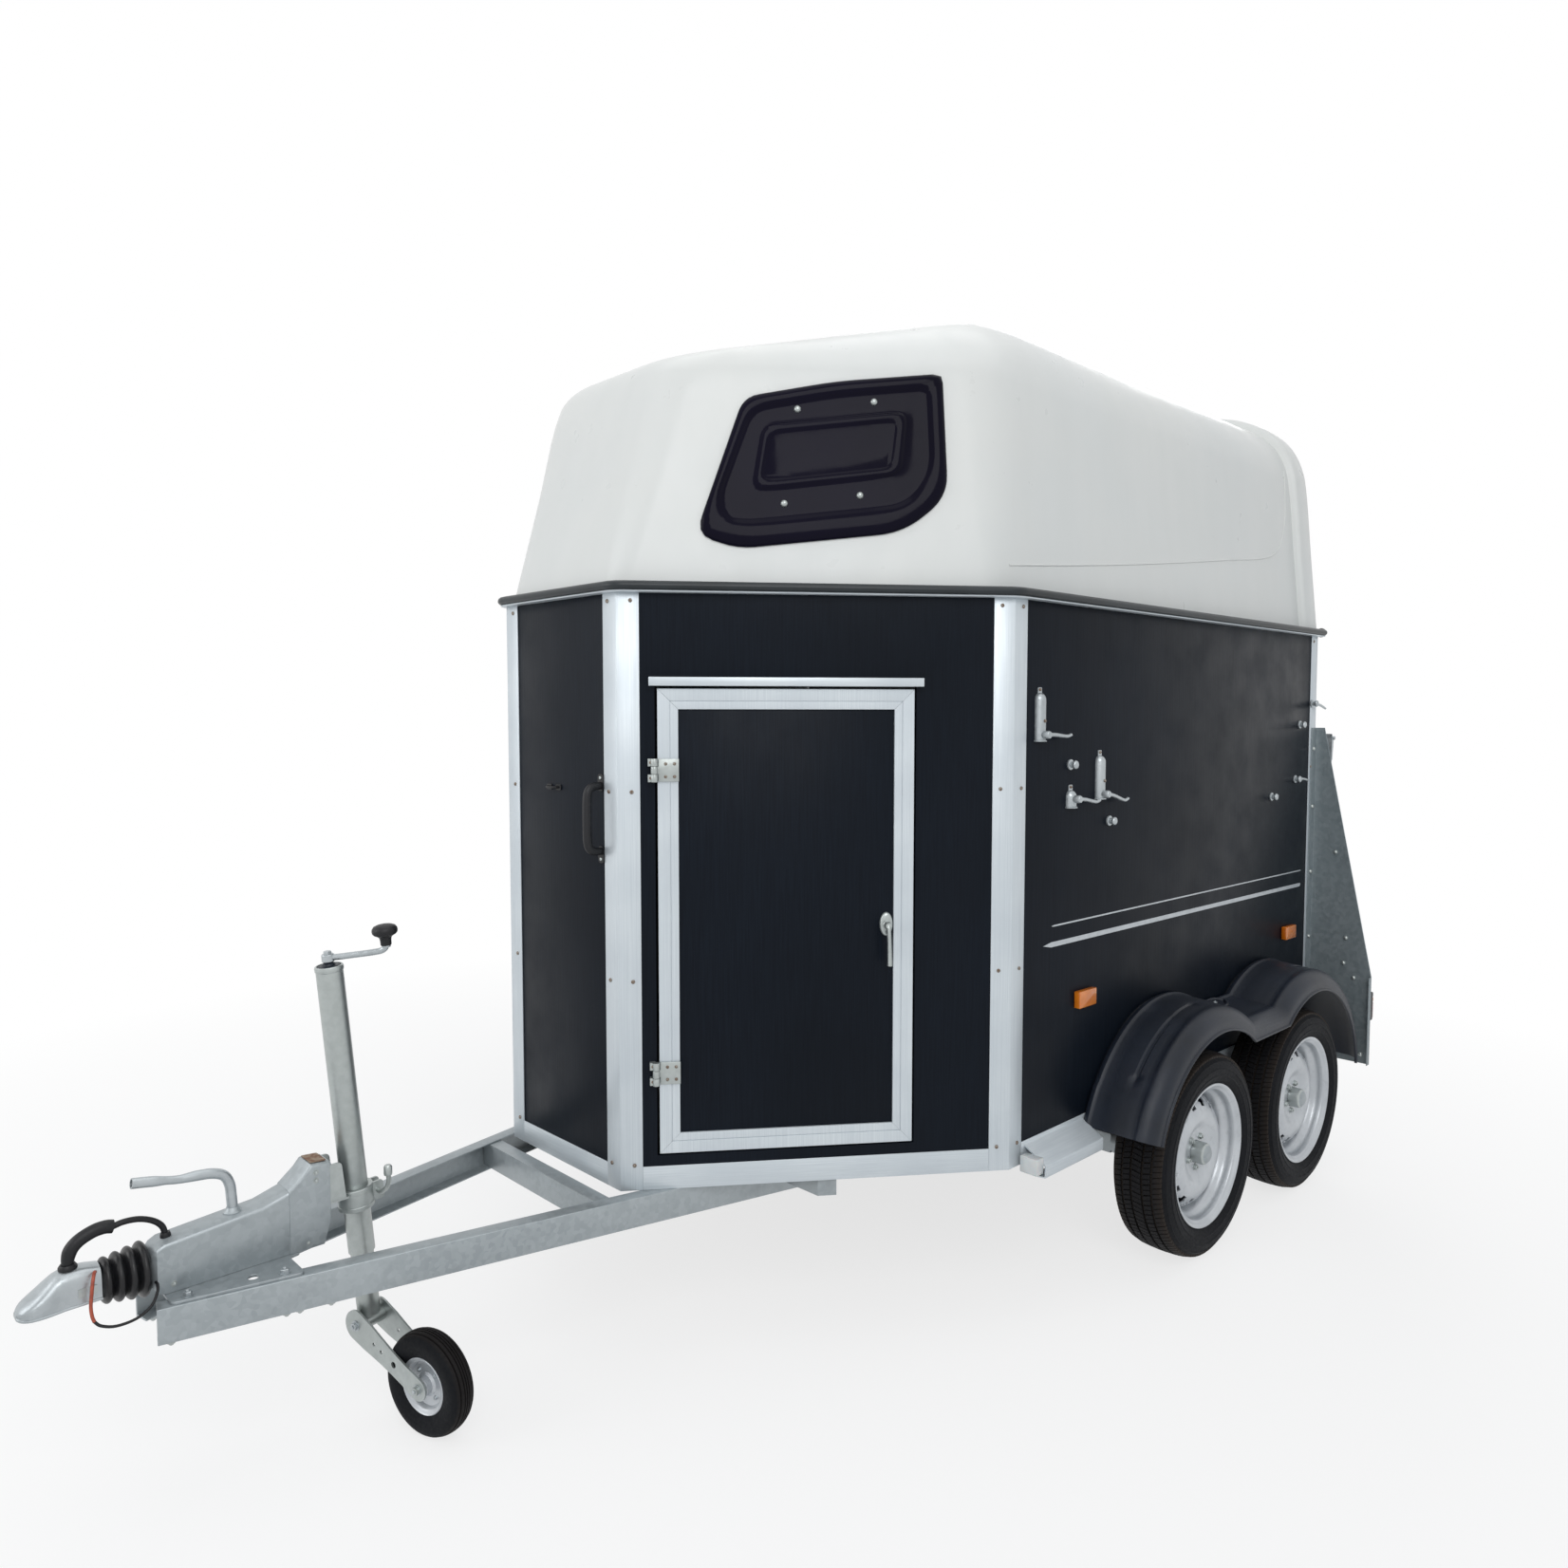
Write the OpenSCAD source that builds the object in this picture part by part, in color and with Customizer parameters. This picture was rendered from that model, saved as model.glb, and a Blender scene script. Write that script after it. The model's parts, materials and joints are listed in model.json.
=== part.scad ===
// Two-horse trailer with a pointed front, a moulded hood, a groom's door and a rear ramp.
// Millimetres. +X points forwards to the coupling, +Y to the left, +Z up, and z = 0 is the ground.
// The origin is below the middle of the whole trailer, from the coupling's nose to the ramp's catches.

/* [Body] */
// Length of the box from the front panel to the rear posts
body_l = 2806; // [2500:2:3200]
// Width of the box over its walls
body_w = 1718; // [1600:2:1900]
// Width of the flat front panel
nose_w = 518; // [440:2:640]
// Length of the slanted front corners, along the trailer
nose_l = 820; // [700:2:950]
// Height of the walls' lower edge above the ground
wall_z = 440; // [430:1:460]
// Height of the walls above their lower edge
wall_h = 1505; // [1400:5:1600]
// Thickness of the wall panels
wall_t = 18; // [12:1:24]
// Thickness of the floor boards
floor_t = 18; // [12:1:24]
// Thickness of the rubber mat on the floor
mat_t = 5; // [3:1:10]
// Height of the black rail between the walls and the hood
rail_h = 28; // [20:1:40]
// How far the rail stands out of the walls
rail_out = 30; // [15:1:40]

/* [Aluminium trim] */
// Width of each leg of the corner profiles
trim_w = 55; // [40:1:70]
// Thickness of the corner profiles and the sill strips
trim_t = 3; // [2:0.5:4]
// Height of the sill strips
sill_h = 60; // [40:1:80]

/* [Hood] */
// Wall thickness of the moulded hood
hood_t = 5; // [4:0.5:8]
// How far the hoop at the hood's rear edge stands out of the hood
hoop_rise = 26; // [10:1:35]
// Width of that hoop along the trailer
hoop_w = 95; // [60:1:140]
// Thickness of the hood windows
pane_t = 5; // [4:0.5:8]

/* [Groom door] */
// Distance of the door from the front corner, along the slanted wall
door_s = 98; // [90:1:120]
// Width of the door
door_w = 654; // [600:1:680]
// Height of the door's lower edge above the walls' lower edge
door_z = 93; // [80:1:120]
// Distance of the door's upper edge below the walls' upper edge
door_top = 235; // [215:1:300]
// Width of the door's aluminium frame
door_frame_w = 52; // [40:1:65]
// Clear gap around the door
door_gap = 6; // [5:0.5:9]
// Radius of the door's hinge pins
door_pin_r = 4; // [3:0.5:5]

/* [Ramp] */
// Gap between the ramp's edges and the box's outer faces
ramp_side = 17; // [16:1:60]
// Height of the ramp above its lower edge
ramp_h = 1480; // [1300:5:1500]
// Thickness of the ramp
ramp_t = 34; // [28:1:45]
// Gap between the rear posts and the closed ramp
ramp_gap = 6; // [5:0.5:10]
// Radius of the ramp's hinge pins
ramp_pin_r = 7; // [5:0.5:9]
// How far the ramp's catches reach behind the box
tail_reach = 104; // [95:1:120]

/* [Drawbar] */
// How far the coupling's nose reaches ahead of the front panel
nose_reach = 1240; // [1200:2:1400]
// Height of the drawbar channels
beam_h = 75; // [60:1:75]
// Width of the channels' flanges
beam_w = 40; // [30:1:45]
// Thickness of the channels
beam_t = 4; // [3:0.5:6]
// Angle of each channel to the trailer's middle line
beam_turn = 13.3; // [13:0.1:14]
// Distance of the channels' outer faces from the middle line at their front ends
beam_y = 80; // [76:1:90]
// Distance of the channels' front ends ahead of the front panel
beam_x = 1015; // [1005:1:1030]
// Distance of the channels' rear ends behind the front panel
beam_end = 1500; // [1440:2:1540]
// Height of the coupling ball's middle above the ground
ball_z = 480; // [470:1:500]
// Radius of the coupling's ball socket
ball_r = 25.2; // [25:0.1:26]

/* [Jockey wheel] */
// Distance of the tube's lower clamp point ahead of the front panel
jockey_x = 568; // [560:1:600]
// Height of that point
jockey_z = 480; // [470:1:500]
// Lean of the jockey tube towards the coupling
jockey_lean = 5.1; // [0:0.1:6]
// Outer radius of the outer tube
jockey_tube_r = 30; // [28:0.5:32]
// Outer radius of the inner tube
jockey_rod_r = 26; // [22:0.5:27]
// Radius of the jockey wheel
jockey_wheel_r = 120; // [100:1:125]
// Width of the jockey wheel
jockey_wheel_w = 56; // [45:1:65]
// Distance between the tube's lower end and the wheel's axle, seen from above
jockey_trail = 203; // [190:1:215]
// Direction in which the fork trails, counted from straight ahead
jockey_turn = 106; // [90:1:120]

/* [Road wheels] */
// Distance of the rear axle ahead of the box's rear end
axle_back = 469; // [440:1:500]
// Distance between the axles
axle_gap = 720; // [700:1:740]
// Radius of the tyres
tyre_r = 310; // [290:1:315]
// Width of the tyres
tyre_w = 174; // [150:1:180]
// Distance of the tyres' middle plane from the middle line
track_y = 962; // [955:1:975]
// Radius of the wheels' bead seat
rim_r = 205; // [195:1:212]
// Radius of the hub spigot on which a wheel turns
hub_r = 32; // [28:0.5:36]

/* [Mudguards] */
// Radius of the guards' lower lip about the axles
guard_lip_r = 385; // [375:1:400]
// Height of the guards' outer face
guard_face_h = 52; // [40:1:70]
// Distance of the guards' outer face from the middle line
guard_y = 1071; // [1062:1:1078]
// Wall thickness of the guards
guard_t = 4; // [3:0.5:6]
// Height of the lip between the wheels
guard_dip_z = 620; // [600:1:640]

/* [Rear wings] */
// Distance of the wing plates' outer edge from the middle line
wing_y = 1088; // [1075:1:1095]
// Height of the wing plates' upper end
wing_top_z = 1600; // [1500:5:1700]
// Height of the wing plates' lower edge
wing_low_z = 342; // [335:1:360]
// Thickness of the wing plates
wing_t = 3; // [2:0.5:5]

/* [Inside] */
// Radius of the partition's posts
post_r = 22; // [18:1:26]
// Thickness of the padded partition
partition_t = 30; // [20:1:40]
// Height of the breast and breech bars
bar_z = 1080; // [1000:5:1150]
// Radius of those bars
bar_r = 20; // [16:1:25]

/* [Hidden] */
$fn = 48;

// Running clearance of a pin in its bore, and the gap at which fixed pieces are seated
fit = 0.05;
seat = 0.3;
// Clear gap between pieces that move past each other
clear = 6;

aluminium = "Silver";
galvanised = "LightSlateGray";
panel_blue = [0.06, 0.07, 0.09];
black = [0.08, 0.08, 0.08];
hood_white = [0.93, 0.93, 0.9];
rubber = [0.05, 0.05, 0.05];
timber = [0.55, 0.4, 0.25];

overall_l = nose_reach + body_l + tail_reach;
front_x = overall_l/2 - nose_reach;
wall_top = wall_z + wall_h;
rail_top = wall_top + rail_h;
floor_top = wall_z + floor_t;
mat_top = floor_top + mat_t;

// The left half's outer corners, seen from above: front, side and rear
half_w = body_w/2;
axle_x = body_l - axle_back - axle_gap;
door_h = wall_h - door_z - door_top;
ramp_w = body_w - 2*ramp_side;
corner_b = [0, nose_w/2];
corner_c = [-nose_l, half_w];
corner_d = [-body_l, half_w];
chamfer = corner_c - corner_b;
chamfer_l = norm(chamfer);
chamfer_turn = atan2(chamfer.y, chamfer.x);
front_out = [1, 0];
chamfer_out = [sin(chamfer_turn), -cos(chamfer_turn)];
side_out = [0, 1];

// The point of a corner between two walls, moved outwards by a distance from both of them
function moved_corner(p, out_1, out_2, d) = p + d*(out_1 + out_2)/(1 + out_1*out_2);
function outline_b(d) = moved_corner(corner_b, front_out, chamfer_out, d);
function outline_c(d) = moved_corner(corner_c, chamfer_out, side_out, d);
function outline_d(d) = corner_d + [0, d];
function flip(points) = [for (i = [len(points) - 1 : -1 : 0]) [points[i].x, -points[i].y]];
// The whole outline from the left rear to the right rear, moved outwards by d, cut off at x = end
function whole_outline(d, end) = let (half = [outline_b(d), outline_c(d), [end, half_w + d]])
    concat([for (i = [2 : -1 : 0]) half[i]], flip([for (i = [2 : -1 : 0]) half[i]]));

module in_place() translate([front_x, 0, 0]) children();
module both_sides() {
    children();
    mirror([0, 1, 0]) children();
}
// Along the left slanted wall: x runs from the front corner to the rear, y inwards
module on_chamfer() translate([corner_b.x, corner_b.y, 0]) rotate([0, 0, chamfer_turn]) children();
// Along the left side wall, in the same way
module on_side() translate([corner_c.x, corner_c.y, 0]) rotate([0, 0, 180]) children();
// A round bar between two points
module rod(p, q, r) {
    way = q - p;
    translate(p) rotate([0, acos(way.z/norm(way)), atan2(way.y, way.x)]) cylinder(h = norm(way), r = r);
}
module wheel_axis(x, y, z) translate([x, y, z]) rotate([-90, 0, 0]) children();
module box(low, high) translate(low) cube(high - low);

function quad(a, b, c, d) = [[a, b, c], [a, c, d]];
function joined(lists) = [for (part = lists) for (item = part) item];
// A route with its corners rounded off, and a round tube or cable along a route
function bend(points, cut, steps) = let (n = len(points)) concat([points[0]],
    [for (i = [1 : n - 2]) let (p = points[i], before = points[i - 1] - p, after = points[i + 1] - p,
        a = p + min(cut, norm(before)/2)*before/norm(before), b = p + min(cut, norm(after)/2)*after/norm(after))
        for (k = [0 : steps]) let (t = k/steps) (1 - t)*(1 - t)*a + 2*t*(1 - t)*p + t*t*b],
    [points[n - 1]]);
// aside is a direction that the route never takes
function ring_at(points, i, r, sides, aside) = let (n = len(points),
    way = points[min(n - 1, i + 1)] - points[max(0, i - 1)], t = way/norm(way),
    a = cross(t, aside), u = a/norm(a), v = cross(t, u))
    [for (k = [0 : sides - 1]) points[i] + r*(u*cos(k*360/sides) + v*sin(k*360/sides))];
module tube_along(points, r, sides = 12, aside = [0, 1, 0]) {
    n = len(points);
    skin = joined([for (i = [0 : n - 2]) for (k = [0 : sides - 1]) let (m = (k + 1)%sides)
        quad(i*sides + k, (i + 1)*sides + k, (i + 1)*sides + m, i*sides + m)]);
    polyhedron(points = joined([for (i = [0 : n - 1]) ring_at(points, i, r, sides, aside)]),
        faces = concat(skin, [[for (k = [0 : sides - 1]) k]],
            [[for (k = [sides - 1 : -1 : 0]) (n - 1)*sides + k]]));
}

// Drawbar and frame

beam_z = wall_z - beam_h;
beam_l = (beam_x + beam_end)/cos(beam_turn);
function beam_out(x) = beam_y + (beam_x - x)*tan(beam_turn);
function beam_in(x) = beam_out(x) - beam_w/cos(beam_turn);

module channel(l) {
    cube([l, beam_t, beam_h]);
    for (z = [0, beam_h - beam_t]) translate([0, 0, z]) cube([l, beam_w, beam_t]);
}
module drawbar_beam() translate([beam_x, beam_y, beam_z]) rotate([0, 0, 180 - beam_turn]) channel(beam_l);
module drawbar_left() color(galvanised) in_place() drawbar_beam();
module drawbar_right() color(galvanised) in_place() mirror([0, 1, 0]) drawbar_beam();

rail_y = beam_out(-beam_end);
sill_x = -body_l;
sill_w = 60;
cross_w = 40;
cross_h = 50;
// Cross members between the drawbar channels, then those between the rear rails
drawbar_cross = [80, -420, -1020];
frame_cross = [-1760, -2150, -2560];
outriggers = [-420, -1020];

// Half the floor's width at a place x
function floor_half(x) = let (b = outline_b(-wall_t), c = outline_c(-wall_t))
    x < c.x ? c.y : b.y + (b.x - x)*(c.y - b.y)/(b.x - c.x);
module tapered_cross(x, in_front, in_rear, out_front, out_rear, h)
    translate([0, 0, wall_z - h]) linear_extrude(h)
        polygon([[x, in_front], [x, out_front], [x - cross_w, out_rear], [x - cross_w, in_rear]]);
module chassis_frame() color(galvanised) in_place() {
    for (x = drawbar_cross)
        translate([0, 0, wall_z - beam_h + beam_t]) linear_extrude(beam_h - 2*beam_t)
            polygon([[x, beam_out(x) - beam_t*2], [x - cross_w, beam_out(x - cross_w) - beam_t*2],
                [x - cross_w, -beam_out(x - cross_w) + beam_t*2], [x, -beam_out(x) + beam_t*2]]);
    both_sides() {
        translate([-beam_end - cross_w, rail_y, beam_z]) rotate([0, 0, 180])
            channel(body_l - beam_end - cross_w - sill_w);
        for (x = outriggers)
            tapered_cross(x, beam_out(x), beam_out(x - cross_w), floor_half(x), floor_half(x - cross_w), cross_h);
        for (x = frame_cross) box([x - cross_w, rail_y, wall_z - cross_h], [x, half_w - wall_t, wall_z]);
    }
    for (x = concat([-beam_end - 15], frame_cross))
        box([x - cross_w, -rail_y + beam_t, wall_z - cross_h - beam_t],
            [x, rail_y - beam_t, wall_z - beam_t]);
}

ramp_x = sill_x - ramp_gap;
ramp_axis_x = ramp_x - ramp_t/2;
ramp_axis_z = wall_z - 15;
ramp_z = wall_z + 5;
ramp_knuckle_r = 13;
ramp_knuckle_l = 50;
ramp_hinges = [-620, 0, 620];
knuckle_gap = 1;

module rear_sill() color(galvanised) in_place() {
    box([sill_x, -half_w + wall_t, wall_z - sill_w], [sill_x + sill_w, half_w - wall_t, wall_z]);
    for (y = ramp_hinges) {
        for (side = [-1, 1]) translate([0, y + side*(ramp_knuckle_l + knuckle_gap), 0]) {
            wheel_axis(ramp_axis_x, -ramp_knuckle_l/2, ramp_axis_z) cylinder(h = ramp_knuckle_l, r = ramp_knuckle_r);
            box([ramp_axis_x, -ramp_knuckle_l/2, ramp_axis_z - ramp_knuckle_r],
                [sill_x, ramp_knuckle_l/2, ramp_axis_z - ramp_knuckle_r/2]);
        }
        wheel_axis(ramp_axis_x, y - ramp_knuckle_l, ramp_axis_z) cylinder(h = 2*ramp_knuckle_l, r = ramp_pin_r);
    }
}

// Axles: a square tube under the frame, a trailing arm, a drum and a hub spigot at each end

axle_tube = 60;
axle_tube_x = 160;
axle_tube_z = beam_z - axle_tube/2;
arm_w = 28;
arm_y = half_w - wall_t - arm_w;
drum_r = 115;
drum_y = track_y - tyre_w/2 + 8;
drum_w = 58;
disc_y = track_y + 22;
disc_t = 8;
hub_l = 34;

module trailing_arm(x) {
    translate([0, arm_y + arm_w, 0]) rotate([90, 0, 0]) linear_extrude(arm_w) {
        translate([x + axle_tube_x, axle_tube_z]) circle(axle_tube/2 + 6);
        translate([x, tyre_r]) circle(38);
        polygon([[x + axle_tube_x + 8, axle_tube_z + 35], [x, tyre_r + 38], [x, tyre_r - 38],
            [x + axle_tube_x - 8, axle_tube_z - 35]]);
    }
    wheel_axis(x, arm_y + arm_w, tyre_r) cylinder(h = drum_y - arm_y - arm_w, r = 30);
    wheel_axis(x, drum_y, tyre_r) cylinder(h = drum_w, r = drum_r);
    wheel_axis(x, drum_y + drum_w, tyre_r) cylinder(h = disc_y + disc_t + hub_l - drum_y - drum_w, r = hub_r);
    wheel_axis(x, disc_y + disc_t + hub_l, tyre_r) cylinder(h = 10, r1 = hub_r, r2 = hub_r*0.6);
}
module axle(x) {
    box([x + axle_tube_x - axle_tube/2, -arm_y, axle_tube_z - axle_tube/2],
        [x + axle_tube_x + axle_tube/2, arm_y, axle_tube_z + axle_tube/2]);
    both_sides() trailing_arm(x);
}
module axle_front() color(galvanised) in_place() axle(-axle_x);
module axle_rear() color(galvanised) in_place() axle(-axle_x - axle_gap);

// Road wheels, drawn about their own middle with the axle along z and the outer side up

bead_w = 62;
module tyre_shape() rotate_extrude()
    polygon([[rim_r, -bead_w], [rim_r + 12, -bead_w - 8], [tyre_r*0.84, -tyre_w/2], [tyre_r*0.94, -tyre_w/2 + 6],
        [tyre_r - 5, -tyre_w/2 + 22], [tyre_r, -tyre_w/2 + 40], [tyre_r, tyre_w/2 - 40],
        [tyre_r - 5, tyre_w/2 - 22], [tyre_r*0.94, tyre_w/2 - 6], [tyre_r*0.84, tyre_w/2],
        [rim_r + 12, bead_w + 8], [rim_r, bead_w]]);
slot_count = 12;
module rim_shape() {
    flange = rim_r + 10;
    rotate_extrude() polygon([[rim_r - 4, -bead_w + 3], [flange, -bead_w - 9], [flange, -bead_w - 13],
        [rim_r - 8, -bead_w - 1], [rim_r - 8, -bead_w + 14], [rim_r - 28, -bead_w + 28], [rim_r - 28, 12],
        [rim_r - 8, 34], [rim_r - 8, bead_w + 1], [flange, bead_w + 13], [flange, bead_w + 9],
        [rim_r - 4, bead_w - 3], [rim_r - seat, bead_w - 3], [rim_r - seat, 34], [rim_r - 24, 8], [rim_r - 24, -bead_w + 30],
        [rim_r - seat, -bead_w + 12], [rim_r - seat, -bead_w + 3]]);
    difference() {
        rotate_extrude() polygon([[hub_r + fit, disc_y - track_y], [70, disc_y - track_y],
            [96, disc_y - track_y + 16], [128, disc_y - track_y + 16], [rim_r - 28, -4],
            [rim_r - 28, 6], [132, disc_y - track_y + 16 + disc_t], [92, disc_y - track_y + 16 + disc_t],
            [66, disc_y - track_y + disc_t], [hub_r + fit, disc_y - track_y + disc_t]]);
        for (i = [0 : slot_count - 1]) rotate([0, 0, i*360/slot_count]) translate([150, -13, -20])
            cube([12, 26, 80]);
    }
}
module at_wheel(x, side) translate([x, side*track_y, tyre_r]) rotate([-90*side, 0, 0]) children();
front_axle = -axle_x;
rear_axle = -axle_x - axle_gap;
module tyre_front_left() color(rubber) in_place() at_wheel(front_axle, 1) tyre_shape();
module tyre_front_right() color(rubber) in_place() at_wheel(front_axle, -1) tyre_shape();
module tyre_rear_left() color(rubber) in_place() at_wheel(rear_axle, 1) tyre_shape();
module tyre_rear_right() color(rubber) in_place() at_wheel(rear_axle, -1) tyre_shape();
module rim_front_left() color(aluminium) in_place() at_wheel(front_axle, 1) rim_shape();
module rim_front_right() color(aluminium) in_place() at_wheel(front_axle, -1) rim_shape();
module rim_rear_left() color(aluminium) in_place() at_wheel(rear_axle, 1) rim_shape();
module rim_rear_right() color(aluminium) in_place() at_wheel(rear_axle, -1) rim_shape();

// Floor and walls

module floor() color(timber) in_place()
    translate([0, 0, wall_z]) linear_extrude(floor_t) polygon(whole_outline(-wall_t, -body_l));
module floor_mat() color(rubber) in_place()
    translate([0, 0, floor_top]) linear_extrude(mat_t) polygon(whole_outline(-wall_t, -body_l));

// A wall between two corners, given as the functions' values on its outer and inner face
module wall(outer, inner) translate([0, 0, wall_z]) linear_extrude(wall_h)
    polygon([outer[0], outer[1], inner[1], inner[0]]);
module front_panel() color(panel_blue) in_place()
    wall([flip([outline_b(0)])[0], outline_b(0)], [flip([outline_b(-wall_t)])[0], outline_b(-wall_t)]);
module chamfer_wall() wall([outline_b(0), outline_c(0)], [outline_b(-wall_t), outline_c(-wall_t)]);
module chamfer_panel_left() color(panel_blue) in_place() difference() {
    chamfer_wall();
    on_chamfer() translate([door_s - door_gap, -1, wall_z + door_z - door_gap])
        cube([door_w + 2*door_gap, wall_t + 2, door_h + 2*door_gap]);
}
module chamfer_panel_right() color(panel_blue) in_place() mirror([0, 1, 0]) chamfer_wall();
side_end = -body_l + trim_t;
module side_wall() wall([outline_c(0), [side_end, half_w]],
    [outline_c(-wall_t), [side_end, half_w - wall_t]]);
module side_panel_left() color(panel_blue) in_place() side_wall();
module side_panel_right() color(panel_blue) in_place() mirror([0, 1, 0]) side_wall();

// Aluminium angles over the four front corners and channels round the rear edges
function leg_point(corner, other, d, out) = corner + d*(other - corner)/norm(other - corner) + out*trim_t;
module corner_angle(inner, outer, leg_1, leg_2) linear_extrude(wall_h)
    polygon([inner, leg_1[0], leg_1[1], outer, leg_2[1], leg_2[0]]);
module corner_profiles() color(aluminium) in_place() translate([0, 0, wall_z]) both_sides() {
    corner_angle(corner_b, outline_b(trim_t),
        [corner_b - [0, trim_w], corner_b - [0, trim_w] + [trim_t, 0]],
        [corner_b + trim_w*chamfer/chamfer_l, corner_b + trim_w*chamfer/chamfer_l + trim_t*chamfer_out]);
    corner_angle(corner_c, outline_c(trim_t),
        [corner_c - trim_w*chamfer/chamfer_l, corner_c - trim_w*chamfer/chamfer_l + trim_t*chamfer_out],
        [corner_c - [trim_w, 0], corner_c - [trim_w, 0] + [0, trim_t]]);
    difference() {
        translate([-body_l, half_w - wall_t - trim_t, 0]) cube([trim_w, wall_t + 2*trim_t, wall_h]);
        translate([side_end, half_w - wall_t, -1]) cube([trim_w, wall_t, wall_h + 2]);
        translate([-body_l - 1, half_w - wall_t - trim_t - 1, -1]) cube([trim_w + 2, wall_t + 1, mat_top - wall_z + 2]);
    }
}
module sill_trim() color(aluminium) in_place() translate([0, 0, wall_z]) {
    box([0, -nose_w/2 + trim_w, 0], [trim_t, nose_w/2 - trim_w, sill_h]);
    both_sides() {
        on_chamfer() box([trim_w, -trim_t, 0], [chamfer_l - trim_w, 0, sill_h]);
        on_side() box([trim_w, -trim_t, 0], [body_l - nose_l - trim_w, 0, sill_h]);
    }
}
module rim_rail() color(black) in_place() translate([0, 0, wall_top]) linear_extrude(rail_h) difference() {
    polygon(whole_outline(rail_out, -body_l - 18));
    polygon(whole_outline(-wall_t - 8, -body_l - 19));
}

// Hood: each level of its shell gives the height over the rail at the front and at the sides, how far
// the front, the slanted corners and the sides lie inside the walls there, how much of each corner is
// rounded off, and the slope of the surface
HOOD = [
    // front z, side z, front in, chamfer in, side in, round, slope
    [0, 0, 4, 14, 30, 50, 0],
    [270, 280, 82, 50.3, 58, 75, 6],
    [540, 556, 160, 86, 86, 100, 14],
    [582, 620, 186, 112, 104, 120, 30],
    [610, 685, 236, 158, 140, 150, 45],
    [645, 750, 350, 246, 210, 190, 60],
    [706, 805, 560, 400, 330, 200, 72],
    [770, 845, 860, 640, 545, 120, 84],
    [868, 872, 1270, 950, 835, 8, 90],
];
ROUND_STEPS = 5;
hood_z = rail_top + seat;
side_stations = [-1450, -1900, -2350];
function hood_corner_b(lv, o) = let (x = -(lv[2] - o*cos(lv[6])))
    [x, (chamfer_out*corner_b - lv[3] + o*cos(lv[6]) - chamfer_out.x*x)/chamfer_out.y];
function hood_corner_c(lv, o) = let (y = half_w - lv[4] + o*cos(lv[6]))
    [(chamfer_out*corner_b - lv[3] + o*cos(lv[6]) - chamfer_out.y*y)/chamfer_out.x, y];
function rounded(p, corner, q, cut) = let (a = corner + cut*(p - corner)/norm(p - corner),
    b = corner + cut*(q - corner)/norm(q - corner))
    [for (i = [0 : ROUND_STEPS]) let (t = i/ROUND_STEPS) (1 - t)*(1 - t)*a + 2*t*(1 - t)*corner + t*t*b];
// One level's left half from the front to the rear; o moves the skin outwards
function hood_half(lv, o, rise) = let (b = hood_corner_b(lv, o), c = hood_corner_c(lv, o),
    cut_b = min(lv[5], b.y*0.8, norm(c - b)*0.4), cut_c = min(lv[5], norm(c - b)*0.4),
    far = [-body_l, c.y], up = o*sin(lv[6]),
    plan = concat(rounded([b.x, 0], b, c, cut_b), rounded(b, c, far, cut_c)),
    front_part = [for (p = plan) let (t = min(1, max(0, (p.x - b.x)/(c.x - b.x))))
        [p.x, p.y, hood_z + lv[0]*(1 - t) + lv[1]*t + up]])
    concat(front_part, [for (x = side_stations) [x, c.y, hood_z + lv[1] + up]],
    [[-body_l + hoop_w, c.y, hood_z + lv[1] + up]],
    [for (x = [-body_l + hoop_w - 12, -body_l - 18])
        [x, c.y + rise*cos(lv[6]), hood_z + lv[1] + up + rise*sin(lv[6])]]);
function hood_ring(lv, o, rise) = let (half = hood_half(lv, o, rise))
    concat([for (i = [len(half) - 1 : -1 : 0]) half[i]], [for (p = half) [p.x, -p.y, p.z]]);
function low_at(points, low) = [for (p = points) [p.x, p.y, max(p.z, low)]];

module hood_shell() {
    rings = concat([for (lv = HOOD) low_at(hood_ring(lv, 0, hoop_rise), hood_z)],
        [for (lv = HOOD) low_at(hood_ring(lv, -hood_t, hoop_rise), hood_z)]);
    n = len(rings[0]);
    m = len(HOOD);
    last = n - 1;
    skin = joined([for (k = [0 : m - 2]) for (j = [0 : n - 2])
        quad(k*n + j, (k + 1)*n + j, (k + 1)*n + j + 1, k*n + j + 1)]);
    lining = joined([for (k = [m : 2*m - 2]) for (j = [0 : n - 2])
        quad(k*n + j, k*n + j + 1, (k + 1)*n + j + 1, (k + 1)*n + j)]);
    crown = joined([for (j = [0 : n/2 - 2]) let (k = (m - 1)*n)
        quad(k + j, k + last - j, k + last - j - 1, k + j + 1)]);
    crown_inside = joined([for (j = [0 : n/2 - 2]) let (k = (2*m - 1)*n)
        quad(k + j, k + j + 1, k + last - j - 1, k + last - j)]);
    foot = joined([for (j = [0 : n - 2]) quad(j, j + 1, m*n + j + 1, m*n + j)]);
    rear_left = joined([for (k = [0 : m - 2]) quad(k*n, (m + k)*n, (m + k + 1)*n, (k + 1)*n)]);
    rear_right = joined([for (k = [0 : m - 2])
        quad(k*n + last, (k + 1)*n + last, (m + k + 1)*n + last, (m + k)*n + last)]);
    rear_top = quad((m - 1)*n, (2*m - 1)*n, (2*m - 1)*n + last, (m - 1)*n + last);
    polyhedron(points = joined(rings),
        faces = concat(skin, lining, crown, crown_inside, foot, rear_left, rear_right, rear_top));
}

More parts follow.
